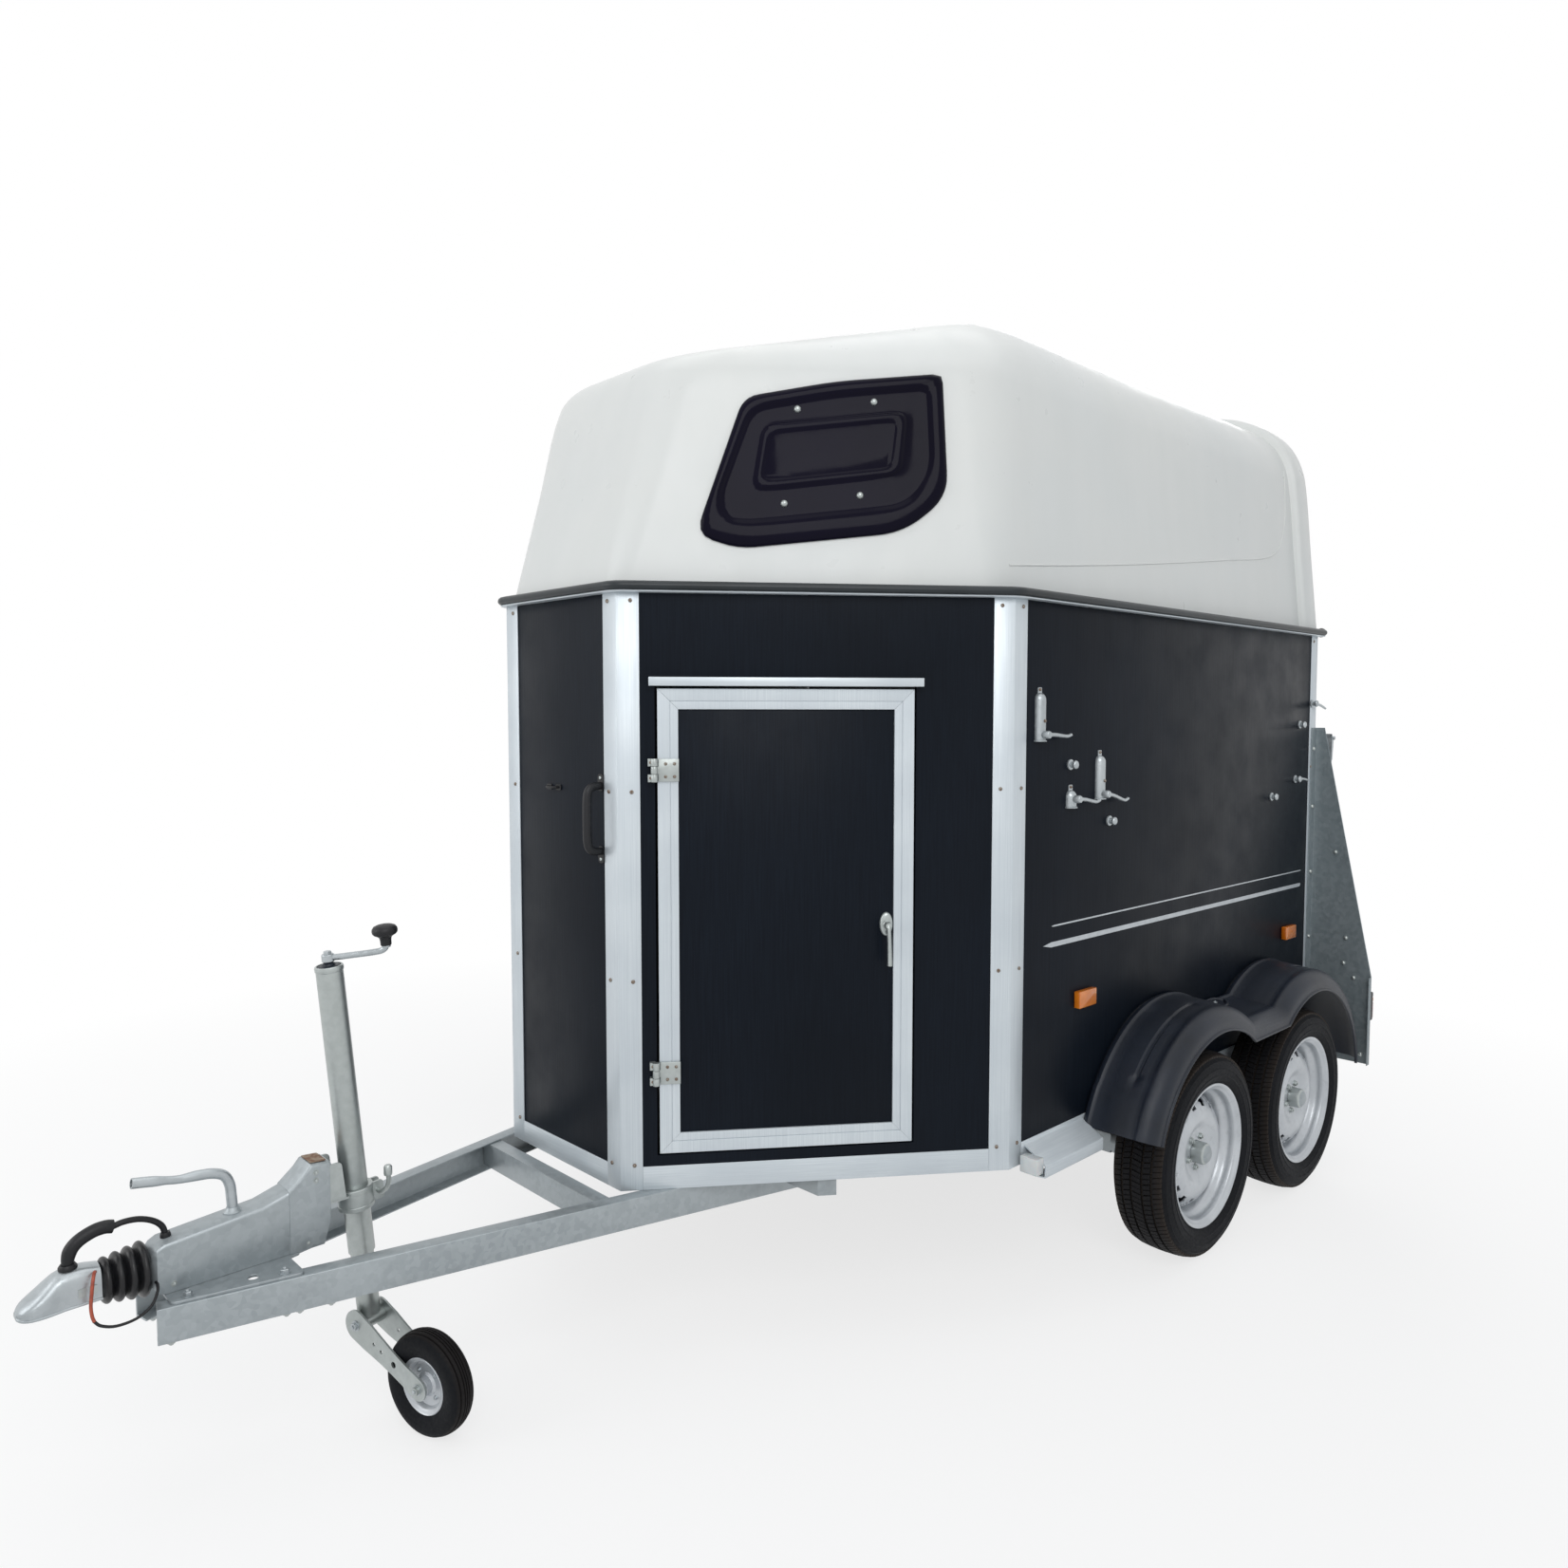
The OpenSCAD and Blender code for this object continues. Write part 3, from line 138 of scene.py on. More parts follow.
class Finish(Graph):
    """One material in the making: its Principled surface and the textures that feed it."""

    def __init__(self, name, colour, **sockets):
        self.material = bpy.data.materials.new(name)
        self.material.use_nodes = True
        super().__init__(self.material.node_tree)
        self.surface = self.nodes["Principled BSDF"]
        self.colour = None
        self.normal = None
        self.set("Base Color", linear(colour))
        for socket, value in sockets.items():
            self.set(socket.replace("_", " ").title().replace("Ior", "IOR"), value)

    def set(self, socket, value):
        self.surface.inputs[socket].default_value = value

    def fed(self, value):
        """A socket as it is, or the noise that a row of (scale, detail, stretch) asks for."""
        return self.noise(*value) if isinstance(value, tuple) else value

    def place(self, stretch=(1, 1, 1)):
        point = self.add("ShaderNodeTexCoord").outputs["Object"]
        return self.add("ShaderNodeMapping", {"Vector": point, "Scale": stretch}).outputs["Vector"]

    def noise(self, scale, detail=3.0, stretch=(1, 1, 1)):
        inputs = {"Vector": self.place(stretch), "Scale": scale, "Detail": detail}
        return self.add("ShaderNodeTexNoise", inputs).outputs["Fac"]

    def cells(self, scale):
        return self.add("ShaderNodeTexVoronoi", {"Vector": self.place(), "Scale": scale}).outputs["Color"]

    def attribute(self, name):
        return self.add("ShaderNodeAttribute", attribute_name=name).outputs["Fac"]

    def waves(self, scale, direction):
        inputs = {"Vector": self.place(), "Scale": scale}
        return self.add("ShaderNodeTexWave", inputs, bands_direction=direction).outputs["Fac"]

    def spread(self, value, low, high, start=0.3, end=0.7):
        """The value's range from start to end, stretched to go from low to high."""
        return self.add("ShaderNodeMapRange", {"Value": self.fed(value), "From Min": start, "From Max": end,
                                               "To Min": low, "To Max": high}).outputs["Result"]

    def tint(self, value, other, most=1.0, start=0.35, end=0.65):
        """Blends the colour so far towards another one where the value is high."""
        mix = self.add("ShaderNodeMix", data_type="RGBA")
        self.links.new(self.spread(value, 0.0, most, start, end), mix.inputs[0])
        if self.colour is None:
            mix.inputs[6].default_value = self.surface.inputs["Base Color"].default_value
        else:
            self.links.new(self.colour, mix.inputs[6])
        mix.inputs[7].default_value = linear(other)
        self.colour = mix.outputs[2]
        self.links.new(self.colour, self.surface.inputs["Base Color"])
        return self

    def roughen(self, value, low, high, start=0.3, end=0.7):
        self.links.new(self.spread(value, low, high, start, end), self.surface.inputs["Roughness"])
        return self

    def lift(self, value, height, strength=1.0):
        inputs = {"Height": self.fed(value), "Distance": height, "Strength": strength}
        bump = self.add("ShaderNodeBump", inputs)
        if self.normal is not None:
            self.links.new(self.normal, bump.inputs["Normal"])
        self.normal = bump.outputs["Normal"]
        self.links.new(self.normal, self.surface.inputs["Normal"])
        return self


# %% [markdown]
# Hot-dip galvanised steel is dull grey, and up close it shows the spangle: zinc crystals a centimetre or
# two across that each catch the light a little differently. Cells give the crystals, a slow noise gives
# the cloudy stains, and a fine one the skin of the zinc.

# %% Galvanised steel
def galvanised_steel(name, colour="a2a9ac", metallic=0.5, rough=0.42, spangle=0.3):
    f = Finish(name, colour, metallic=metallic, roughness=rough)
    crystals = f.cells(85)
    f.tint((4, 4), "858d91", 0.45)
    f.tint(crystals, "c0c6c9", spangle, 0.2, 0.9)
    f.tint((24, 6), "767c80", 0.25, 0.55, 0.8)
    f.roughen(crystals, rough - 0.08, rough + 0.12, 0.0, 1.0)
    f.lift((160, 4), 0.0004, 0.35)
    f.lift((14, 2), 0.0015, 0.2)
    return f.material


steel = galvanised_steel("galvanised steel")
wing_steel = galvanised_steel("galvanised wing plate", "7d888c", 0.35, 0.5, 0.14)
bright_steel = galvanised_steel("bright galvanised steel", "b4babd", 0.7, 0.34)
rusty_steel = (
    Finish("rusty steel", "9a8a78", metallic=0.2, roughness=0.7)
    .tint((90, 6), "6e4a33", 0.9, 0.42, 0.6)
    .lift((300, 5), 0.0006, 0.6)
    .material)

# %% [markdown]
# The trims are drawn aluminium. Drawing leaves fine lines along the profile, so the noise is stretched
# along its length: upright on the corners, lengthwise on the strips along the floor.

# %% Aluminium
def drawn_aluminium(name, stretch):
    f = Finish(name, "d3dade", metallic=0.35, roughness=0.34)
    lines = f.noise(420, 3, stretch)
    f.tint(lines, "b3bcc3", 0.4)
    f.tint((6, 5), "c0c8ce", 0.6)
    f.roughen(lines, 0.28, 0.46)
    f.lift(lines, 0.0002, 0.35)
    return f.material


aluminium_upright = drawn_aluminium("aluminium upright", (1, 1, 0.01))
aluminium_level = drawn_aluminium("aluminium level", (0.02, 0.02, 1))
zinc = (
    Finish("bright zinc", "b4bab9", metallic=0.75, roughness=0.36)
    .roughen((300, 3), 0.3, 0.44)
    .tint((60, 4), "9aa09f", 0.4)
    .tint((6, 3), "a3a9a6", 0.4)
    .material)
rusty_zinc = (
    Finish("rusty zinc", "8f877d", metallic=0.55, roughness=0.5)
    .tint((160, 5), "5d3f2a", 0.85, 0.42, 0.62)
    .lift((500, 3), 0.0003, 0.5)
    .material)

# %% [markdown]
# The walls are plywood faced with a blue-black film. The film is half gloss and follows the grain of the
# wood below it, which shows only as faint upright streaks in a reflection.

# %% Film-faced plywood and the stripes
def film_panel(name, colour="0c121b"):
    f = Finish(name, colour, roughness=0.34, specular_ior_level=0.1)
    grain = f.noise(260, 5, (1, 1, 0.03))
    f.tint(grain, "151d27", 0.5)
    f.tint((2.2, 4), "090e15", 0.5)
    f.roughen((9, 6), 0.32, 0.46)
    f.lift(grain, 0.0004, 0.5)
    return f.material


panel = film_panel("blue-black panel")
stripe = (
    Finish("silver film", "c4c9cd", metallic=0.2, roughness=0.35)
    .tint((40, 4), "aeb4b9", 0.5)
    .lift((200, 3), 0.0002, 0.3)
    .material)

# %% [markdown]
# The hood is a glass-fibre moulding with a gelcoat. It isn't perfectly flat: the mats below print through
# as a very slow waviness, and dust and rain leave faint upright streaks near its foot.

# %% Gelcoat
gelcoat = (
    Finish("white gelcoat", "dfe0dd", roughness=0.32, specular_ior_level=0.35, coat_weight=0.12,
           coat_roughness=0.15)
    .tint((1.6, 4), "d8dbda", 0.6)
    .tint((11, 3, (1, 1, 0.2)), "d3d6d3", 0.35, 0.4, 0.9)
    .roughen((12, 5), 0.27, 0.38)
    .lift((7, 1), 0.002, 0.1)
    .lift((300, 1), 0.0001, 0.15)
    .material)

# %% Tinted acrylic, and the lamps' lenses
acrylic = (
    Finish("violet acrylic", "0b0918", roughness=0.12, specular_ior_level=0.07)
    .tint((3, 3), "120f22", 0.5)
    .roughen((25, 5), 0.08, 0.17)
    .lift((14, 2), 0.0012, 0.2)
    .material)


def lens(name, colour, deep, direction="X"):
    """Clear coloured plastic with the fine prisms that lie behind a lamp's surface."""
    f = Finish(name, colour, roughness=0.12, coat_weight=0.8, coat_roughness=0.05, subsurface_weight=0.1)
    prisms = f.waves(95, direction)
    f.tint(prisms, deep, 0.55, 0.2, 0.9)
    f.tint((30, 3), deep, 0.25)
    f.roughen(prisms, 0.08, 0.2)
    f.lift(prisms, 0.0008, 0.5)
    return f.material


amber = lens("amber lens", "f08a1c", "b9560a")
red = lens("red lens", "a81410", "5c0606", "Y")
clear = lens("clear lens", "e4e7e6", "aeb5b8")

# %% [markdown]
# Black things differ most in their roughness: the mudguards are moulded with a fine leather-like grain,
# the tyres are matt and dusty, the rail and the hand grips are smoother, and the mat is dull rubber.

# %% Black plastics and rubber
def black_stuff(name, colour, dust, grain, height, rough, shine=0.35):
    f = Finish(name, colour, roughness=rough, specular_ior_level=shine)
    skin = f.noise(grain, 4)
    f.tint((7, 6), dust, 0.75)
    f.tint(skin, dust, 0.35)
    f.tint(f.attribute("dust"), "3a3129", 0.6, 0.0, 1.0)
    f.roughen(skin, rough - 0.08, rough + 0.1)
    f.lift(skin, height, 0.6)
    return f.material


guard_black = black_stuff("mudguard plastic", "0f141d", "1d2430", 420, 0.0006, 0.42)
tyre_black = black_stuff("tyre rubber", "07090d", "101217", 130, 0.0007, 0.7, 0.18)
rail_black = black_stuff("rail", "1b2023", "2c3236", 350, 0.0002, 0.36)
grip_black = black_stuff("grip plastic", "0c0d10", "191a1e", 500, 0.0004, 0.46)
bellows_black = black_stuff("bellows rubber", "07080b", "101114", 240, 0.0005, 0.36, 0.4)
mat_black = black_stuff("mat rubber", "17181a", "2b2a28", 90, 0.001, 0.85)

# %% Silver paint, floor boards, padding and the red wire
silver = (
    Finish("silver paint", "c6cace", metallic=0.45, roughness=0.34, coat_weight=0.2)
    .tint((9, 5), "a7acb1", 0.55)
    .tint((60, 5), "8f9397", 0.35, 0.55, 0.8)
    .roughen((300, 3), 0.28, 0.44)
    .lift((500, 2), 0.0002, 0.3)
    .material)

boards = (
    Finish("floor boards", "4d3524", roughness=0.55)
    .tint((60, 6, (0.05, 1, 1)), "33210f", 0.8)
    .tint((3, 4), "5d4631", 0.5)
    .lift((60, 6, (0.05, 1, 1)), 0.0008, 0.6)
    .material)

padding = black_stuff("padding cover", "1b1f26", "2a2f37", 160, 0.0008, 0.6)
wire_red = (
    Finish("red wire cover", "b4553c", roughness=0.4)
    .tint((80, 4), "7c2f20", 0.7)
    .lift((400, 2), 0.0003, 0.4)
    .material)
print("materials:", len(bpy.data.materials))

# %% [markdown]
# Every piece ends the same way: its modifiers are baked to a plain mesh, it is smoothed except at sharp
# edges, it gets its material, and it rides on its body, standing for the plain solids that it replaces.

# %% Finish a piece
def piece(name, points, faces):
    """A new object with the given mesh, at the origin."""
    mesh = bpy.data.meshes.new(name)
    mesh.from_pydata([tuple(p) for p in points], [], faces)
    mesh.validate()
    made = bpy.data.objects.new(name, mesh)
    bpy.context.scene.collection.objects.link(made)
    return made


def bake(made):
    """The modifiers' result becomes the object's own mesh."""
    bpy.context.view_layer.update()
    graph = bpy.context.evaluated_depsgraph_get()
    mesh = bpy.data.meshes.new_from_object(made.evaluated_get(graph))
    made.modifiers.clear()
    made.data = mesh
    return made


def outwards(made):
    """Merges doubles and turns every face to the outside."""
    work = bmesh.new()
    work.from_mesh(made.data)
    bmesh.ops.remove_doubles(work, verts=work.verts, dist=1e-5)
    bmesh.ops.recalc_face_normals(work, faces=work.faces)
    work.to_mesh(made.data)
    work.free()
    return made


def round_edges(made, width, segments=2, angle=28):
    bevel = made.modifiers.new("edges", "BEVEL")
    bevel.width, bevel.segments = width, segments
    bevel.limit_method, bevel.angle_limit = "ANGLE", math.radians(angle)
    bevel.use_clamp_overlap = True
    return bake(made)


STEEL = "galvanised steel"


def settle(made, material, slot, *nodes, body="trailer", angle=32):
    """Gives the piece its material and its body, and hides the solids that it stands for."""
    made.data.materials.clear()
    made.data.materials.append(material)
    for face in made.data.polygons:
        face.material_index = 0
    made.data.shade_smooth()
    made.data.set_sharp_from_angle(angle=math.radians(angle))
    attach(made, body)
    if nodes:
        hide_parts(*nodes)
    return made


# %% [markdown]
# Real sheet and bar never has a knife edge. A plain solid that already has the right shape is copied,
# its loose triangles are merged, the flat ones are joined again and its edges get a small round.

# %% Round the edges of the plain solids
def softened(node, width, material, slot):
    source = frame["nodes"][node].data.copy()
    made = bpy.data.objects.new(node + "_finished", source)
    bpy.context.scene.collection.objects.link(made)
    work = bmesh.new()
    work.from_mesh(source)
    bmesh.ops.remove_doubles(work, verts=work.verts, dist=1e-5)
    bmesh.ops.dissolve_limit(work, angle_limit=math.radians(0.3), verts=work.verts, edges=work.edges)
    work.to_mesh(source)
    work.free()
    round_edges(made, width)
    return settle(made, material, slot, node, body=body_of[node])


PLAIN = (
    # solid, edge radius in millimetres, material, slot
    ("drawbar_left", 1.5, steel, STEEL), ("drawbar_right", 1.5, steel, STEEL),
    ("chassis_frame", 1.5, steel, STEEL), ("rear_sill", 1.5, steel, STEEL),
    ("axle_front", 2.0, steel, STEEL), ("axle_rear", 2.0, steel, STEEL),
    ("floor", 1.0, boards, "floor"), ("floor_mat", 1.0, mat_black, "rubber"),
    ("front_panel", 0.5, panel, "wall panel"), ("chamfer_panel_left", 0.5, panel, "wall panel"),
    ("chamfer_panel_right", 0.5, panel, "wall panel"), ("side_panel_left", 0.5, panel, "wall panel"),
    ("side_panel_right", 0.5, panel, "wall panel"), ("corner_profiles", 0.8, aluminium_upright, "aluminium"),
    ("sill_trim", 0.8, aluminium_level, "aluminium"), ("rain_strip", 1.5, aluminium_level, "aluminium"),
    ("door_hinge_leaves", 0.8, zinc, "aluminium"),
    ("partition_panel", 10.0, padding, "wall panel"), ("partition_posts", 1.5, steel, STEEL),
    ("stall_bars", 2.0, padding, STEEL), ("door_leaf", 0.8, panel, "wall panel"),
    ("door_hinges", 0.8, zinc, "aluminium"), ("ramp_panel", 0.8, panel, "wall panel"),
    ("ramp_frame", 1.5, aluminium_upright, "aluminium"), ("ramp_slats", 4.0, mat_black, "rubber"),
    ("ramp_catches", 1.5, zinc, STEEL), ("rear_wings", 1.0, wing_steel, STEEL),
    ("front_marker_lamps", 3.0, clear, "white lamp"), ("side_marker_lamps", 3.0, amber, "amber lamp"),
)
for node, width, material, slot in PLAIN:
    softened(node, width / 1000, material, slot)
print("softened solids:", len(PLAIN))

# %% [markdown]
# Sheets, tubes and turned parts are all rows of points joined by faces. Three small builders cover most
# of the trailer: a skin over rings, a turned profile and a tube along a route. The routes are drawn with
# few points and then smoothed. Small hardware is written in millimetres on its own axes, which a matrix
# then puts in place.

# %% Rings, turned parts and tubes
def mm(rows):
    """Rows of millimetres as metres."""
    return [tuple(v / 1000 for v in row) for row in rows]


def turns(count, offset=0.0):
    """Angles spread evenly round a circle."""
    return [2 * math.pi * (k + offset) / count for k in range(count)]


def skin(name, rings, closed=True, capped=True, around=False):
    """Faces over rows of points: closed joins each row's ends, around joins the last row to the first."""
    n, rows = len(rings[0]), len(rings)
    faces = []
    for i in range(rows if around else rows - 1):
        for j in range(n if closed else n - 1):
            k, m = (j + 1) % n, (i + 1) % rows
            faces.append((i * n + j, i * n + k, m * n + k, m * n + j))
    if capped:
        faces += [tuple(range(n))[::-1], tuple(range(rows * n - n, rows * n))]
    return outwards(piece(name, [p for ring in rings for p in ring], faces))


def turned(name, profile, place, steps=64, hollow=False, per=1000):
    """Turns a profile of (radius, height) in millimetres about local Z; a hollow one closes on itself."""
    rows = [(r / per, h / per) for r, h in profile]
    rings = [[place @ Vector((r * math.cos(a), r * math.sin(a), h)) for r, h in rows] for a in turns(steps)]
    return skin(name, rings, hollow, False, True)


print("builders: skin, turned")


# %% Routes and tubes
def smooth_route(points, steps=6):
    """A curve through the points (Catmull-Rom), with so many steps between each two."""
    points = [Vector(p) for p in points]
    ends = [2 * points[0] - points[1]] + points + [2 * points[-1] - points[-2]]
    route = []
    for i in range(1, len(ends) - 2):
        a, b, c, d = ends[i - 1:i + 3]
        for t in (k / steps for k in range(steps)):
            route.append(0.5 * (2 * b + (c - a) * t + (2 * a - 5 * b + 4 * c - d) * t * t
                                + (3 * b - a - 3 * c + d) * t ** 3))
    return route + [points[-1]]


def tube_rings(route, size, sides=16, flat=1.0):
    """Round rings along a route; size is a radius or a function of the share 0 to 1, flat squeezes them."""
    rings, side = [], None
    for i, p in enumerate(route):
        way = (route[min(i + 1, len(route) - 1)] - route[max(i - 1, 0)]).normalized()
        if side is None:
            side = (way.orthogonal() if abs(way.y) > 0.9 else LEFT.cross(way)).normalized()
        side = (side - way * side.dot(way)).normalized()
        other = way.cross(side) * flat
        r = size(i / (len(route) - 1)) if callable(size) else size
        rings.append([p + side * r * math.cos(a) + other * r * math.sin(a) for a in turns(sides)])
    return rings


def tube(name, points, size, sides=16, steps=6, flat=1.0):
    return skin(name, tube_rings(smooth_route(points, steps), size, sides, flat))


print("builders: tube")

# %% Join, copy and mirror pieces
HERE = Matrix.Identity(4)


def slab(name, outline, low, high, place):
    """A plate: an outline of (x, y) between two heights, put in place with a matrix."""
    return skin(name, [[place @ Vector((x, y, z)) for x, y in outline] for z in (low, high)])


def joined(name, parts):
    """Several objects made one."""
    bpy.ops.object.select_all(action="DESELECT")
    for part in parts:
        part.select_set(True)
    bpy.context.view_layer.objects.active = parts[0]
    bpy.ops.object.join()
    parts[0].name = name
    parts[0].data.name = name
    return parts[0]


def copied(made, name, place=HERE):
    """A copy of a piece, put in place with a matrix."""
    twin = bpy.data.objects.new(name, made.data.copy())
    bpy.context.scene.collection.objects.link(twin)
    twin.data.transform(place)
    return twin


def mirrored(made, name):
    """The same piece on the trailer's right side."""
    twin = copied(made, name, Matrix.Scale(-1, 4, LEFT))
    twin.data.flip_normals()
    return twin


def settle_pair(left, material, slot, nodes=((), ()), angle=32):
    """Settles a left piece and its mirror image, each with the solids that it stands for."""
    right = mirrored(left, left.name.replace("_left", "_right"))
    for made, replaced in zip((left, right), nodes):
        settle(made, material, slot, *replaced, angle=angle)


def both_sides(places):
    """The same (point, facing) places again on the trailer's right side."""
    return places + [(Vector((p.x, -p.y, p.z)), Vector((w.x, -w.y, w.z))) for p, w in places]


print("builders: slab, joined, copied, mirrored")


# %% Outlines with round corners, and smooth curves
def axes(origin, x, y, z):
    """The matrix that puts a piece's own axes along the given directions."""
    return Matrix.Translation(origin) @ Matrix((x, y, z)).transposed().to_4x4()


def bend(before, corner, after, cut, steps):
    """A corner cut off by a curve that starts and ends so far away from it."""
    a = corner + (before - corner).normalized() * cut
    b = corner + (after - corner).normalized() * cut
    return [(1 - t) ** 2 * a + 2 * t * (1 - t) * corner + t * t * b
            for t in (k / steps for k in range(steps + 1))]


def arc_points(corners, steps=6):
    """An outline of (x, y, radius) corners with each corner rounded off."""
    outline = []
    for i, (x, y, r) in enumerate(corners):
        before, after = (Vector(corners[k][:2]) for k in (i - 1, (i + 1) % len(corners)))
        outline += bend(before, Vector((x, y)), after, r, steps)
    return outline


def oblong(x0, x1, y0, y1, *radii):
    """The corners of a rectangle with one radius, or with one for each end."""
    return [(x0, y0, radii[0]), (x1, y0, radii[-1]), (x1, y1, radii[-1]), (x0, y1, radii[0])]


def rounded_plate(name, corners, low, high, place, steps=4):
    """A plate of (x, y, radius) corners between two heights, all in millimetres."""
    return slab(name, arc_points(mm(corners), steps), low / 1000, high / 1000, place)


def cut_away(made, tool):
    """Takes the tool's solid out of the piece."""
    cut = made.modifiers.new("cut", "BOOLEAN")
    cut.operation, cut.object, cut.solver = "DIFFERENCE", tool, "EXACT"
    bake(made)
    bpy.data.objects.remove(tool)
    return made


def smooth_step(low, high, value):
    t = min(1, max(0, (value - low) / (high - low)))
    return t * t * (3 - 2 * t)


def curve_through(xs, ys):
    """A smooth function through the points that never overshoots them."""
    rises = [(b - a) / (d - c) for a, b, c, d in zip(ys, ys[1:], xs, xs[1:])]
    between = [0 if a * b <= 0 else 2 * a * b / (a + b) for a, b in zip(rises, rises[1:])]
    slopes = rises[:1] + between + rises[-1:]

    def value(x):
        i = max(k for k in range(len(xs) - 1) if xs[k] <= x + 1e-12)
        w = xs[i + 1] - xs[i]
        t = (x - xs[i]) / w
        return ((1 + 2 * t) * (1 - t) ** 2 * ys[i] + t * (1 - t) ** 2 * w * slopes[i]
                + t * t * (3 - 2 * t) * ys[i + 1] + t * t * (t - 1) * w * slopes[i + 1])
    return value


print("builders: rounded_plate, cut_away, curve_through")

# %% [markdown]
# Two things repeat by the hundred: screws and tread blocks. Each kind is drawn once, and a Geometry Nodes
# tree sets the copies. A tree is written as its inputs, its nodes and the wires between their sockets.

# %% A short way to draw a tree
def new_tree(title, inputs, output, kinds, wires):
    """A tree from rows of (name, kind, settings, values) and wires such as "given.Head > head.Object"."""
    tree = bpy.data.node_groups.new(title, "GeometryNodeTree")
    for label, kind in inputs:
        tree.interface.new_socket(label, in_out="INPUT", socket_type="NodeSocket" + kind)
    tree.interface.new_socket(output, in_out="OUTPUT", socket_type="NodeSocketGeometry")
    made = {"given": tree.nodes.new("NodeGroupInput"), "result": tree.nodes.new("NodeGroupOutput")}
    for name, kind, settings, values in kinds:
        made[name] = tree.nodes.new(kind)
        for key, value in settings.items():
            setattr(made[name], key, value)
        for socket, value in values.items():
            made[name].inputs[socket].default_value = value
    for wire in wires:
        (start, source), (end, target) = (side.split(".") for side in wire.split(" > "))
        tree.links.new(made[start].outputs[source], made[end].inputs[target])
    return tree


def run_tree(made, tree, values):
    """Gives the tree its inputs by their socket identifiers and bakes what it makes of the piece."""
    modifier = made.modifiers.new("tree", "NODES")
    modifier.node_group = tree
    for item in tree.interface.items_tree:
        if item.name in values:
            modifier[item.identifier] = values[item.name]
    return bake(made)


FINISH_NODES = [("solid", "GeometryNodeRealizeInstances", {}, {}),
                ("coat", "GeometryNodeSetMaterial", {}, {})]
FINISH_WIRES = ["solid.Geometry > coat.Geometry", "given.Finish > coat.Material"]
FASTENERS = new_tree(
    "set fasteners",
    (("Places", "Geometry"), ("Head", "Object"), ("Size", "Float"), ("Finish", "Material")), "Fasteners",
    [("facing", "GeometryNodeInputNamedAttribute", {"data_type": "FLOAT_VECTOR"}, {"Name": "facing"}),
     ("turn", "FunctionNodeAlignRotationToVector", {"axis": "Z"}, {}),
     ("head", "GeometryNodeObjectInfo", {}, {}),
     ("copies", "GeometryNodeInstanceOnPoints", {}, {})] + FINISH_NODES,
    ["given.Places > copies.Points", "given.Head > head.Object", "head.Geometry > copies.Instance",
     "facing.Attribute > turn.Vector", "turn.Rotation > copies.Rotation", "given.Size > copies.Scale",
     "copies.Instances > solid.Geometry"] + FINISH_WIRES + ["coat.Geometry > result.Fasteners"])
TREAD = new_tree(
    "tread round a wheel",
    (("Carcass", "Geometry"), ("Blocks", "Object"), ("Count", "Int"), ("Radius", "Float"),
     ("Finish", "Material")), "Tyre",
    [("ring", "GeometryNodeMeshCircle", {}, {}), ("where", "GeometryNodeInputPosition", {}, {}),
     ("up", "FunctionNodeAlignRotationToVector", {"axis": "Z"}, {}),
     ("along", "FunctionNodeAlignRotationToVector", {"axis": "Y", "pivot_axis": "Z"}, {"Vector": (0, 0, 1)}),
     ("block", "GeometryNodeObjectInfo", {}, {}), ("copies", "GeometryNodeInstanceOnPoints", {}, {}),
     ("whole", "GeometryNodeJoinGeometry", {}, {})] + FINISH_NODES,
    ["given.Count > ring.Vertices", "given.Radius > ring.Radius", "given.Blocks > block.Object",
     "where.Position > up.Vector", "up.Rotation > along.Rotation", "ring.Mesh > copies.Points",
     "block.Geometry > copies.Instance", "along.Rotation > copies.Rotation",
     "copies.Instances > whole.Geometry", "given.Carcass > whole.Geometry",
     "whole.Geometry > solid.Geometry"]
    + FINISH_WIRES + ["coat.Geometry > result.Tyre"])
print("trees:", [tree.name for tree in bpy.data.node_groups])

# %% [markdown]
# A guide mesh has one point for every screw or bolt and keeps the way that each of them faces.

# %% Fasteners
def hidden(made):
    """A pattern that only the trees and the copies use."""
    made.hide_render = True
    made.hide_viewport = True
    return made


# Heads of radius 1 stand on z = 0 and are scaled to their size
PAN = ((0, -0.2), (1, -0.2), (1, 0.15), (0.9, 0.42), (0.6, 0.62), (0.3, 0.66), (0.22, 0.4), (0, 0.36))
DOME = ((0, -0.1), (1, -0.1), (1, 0.1), (0.86, 0.5), (0.5, 0.82), (0, 0.92))
pan_head = hidden(turned("pan_head_pattern", PAN, HERE, 12, per=1))
dome_head = hidden(turned("dome_head_pattern", DOME, HERE, 16, per=1))
hex_head = hidden(joined("hex_head_pattern", [
    turned("washer", ((0, -0.1), (1, -0.1), (1, 0.12), (0, 0.12)), HERE, 16, per=1),
    turned("nut", ((0, 0.1), (0.72, 0.1), (0.72, 0.62), (0.6, 0.72), (0, 0.72)), HERE, 6, per=1),
    turned("thread", ((0, 0.7), (0.34, 0.7), (0.34, 0.95), (0.26, 1.02), (0, 1.02)), HERE, 10, per=1)]))


def fasten(name, places, head, radius, material, slot=STEEL, body="trailer"):
    """Sets a head of that radius on each of the (point, facing) places."""
    guide = piece(name, [p for p, _ in places], [])
    facing = guide.data.attributes.new("facing", "FLOAT_VECTOR", "POINT")
    facing.data.foreach_set("vector", [c for _, way in places for c in way])
    run_tree(guide, FASTENERS, {"Head": head, "Size": radius, "Finish": material})
    return settle(guide, material, slot, body=body)


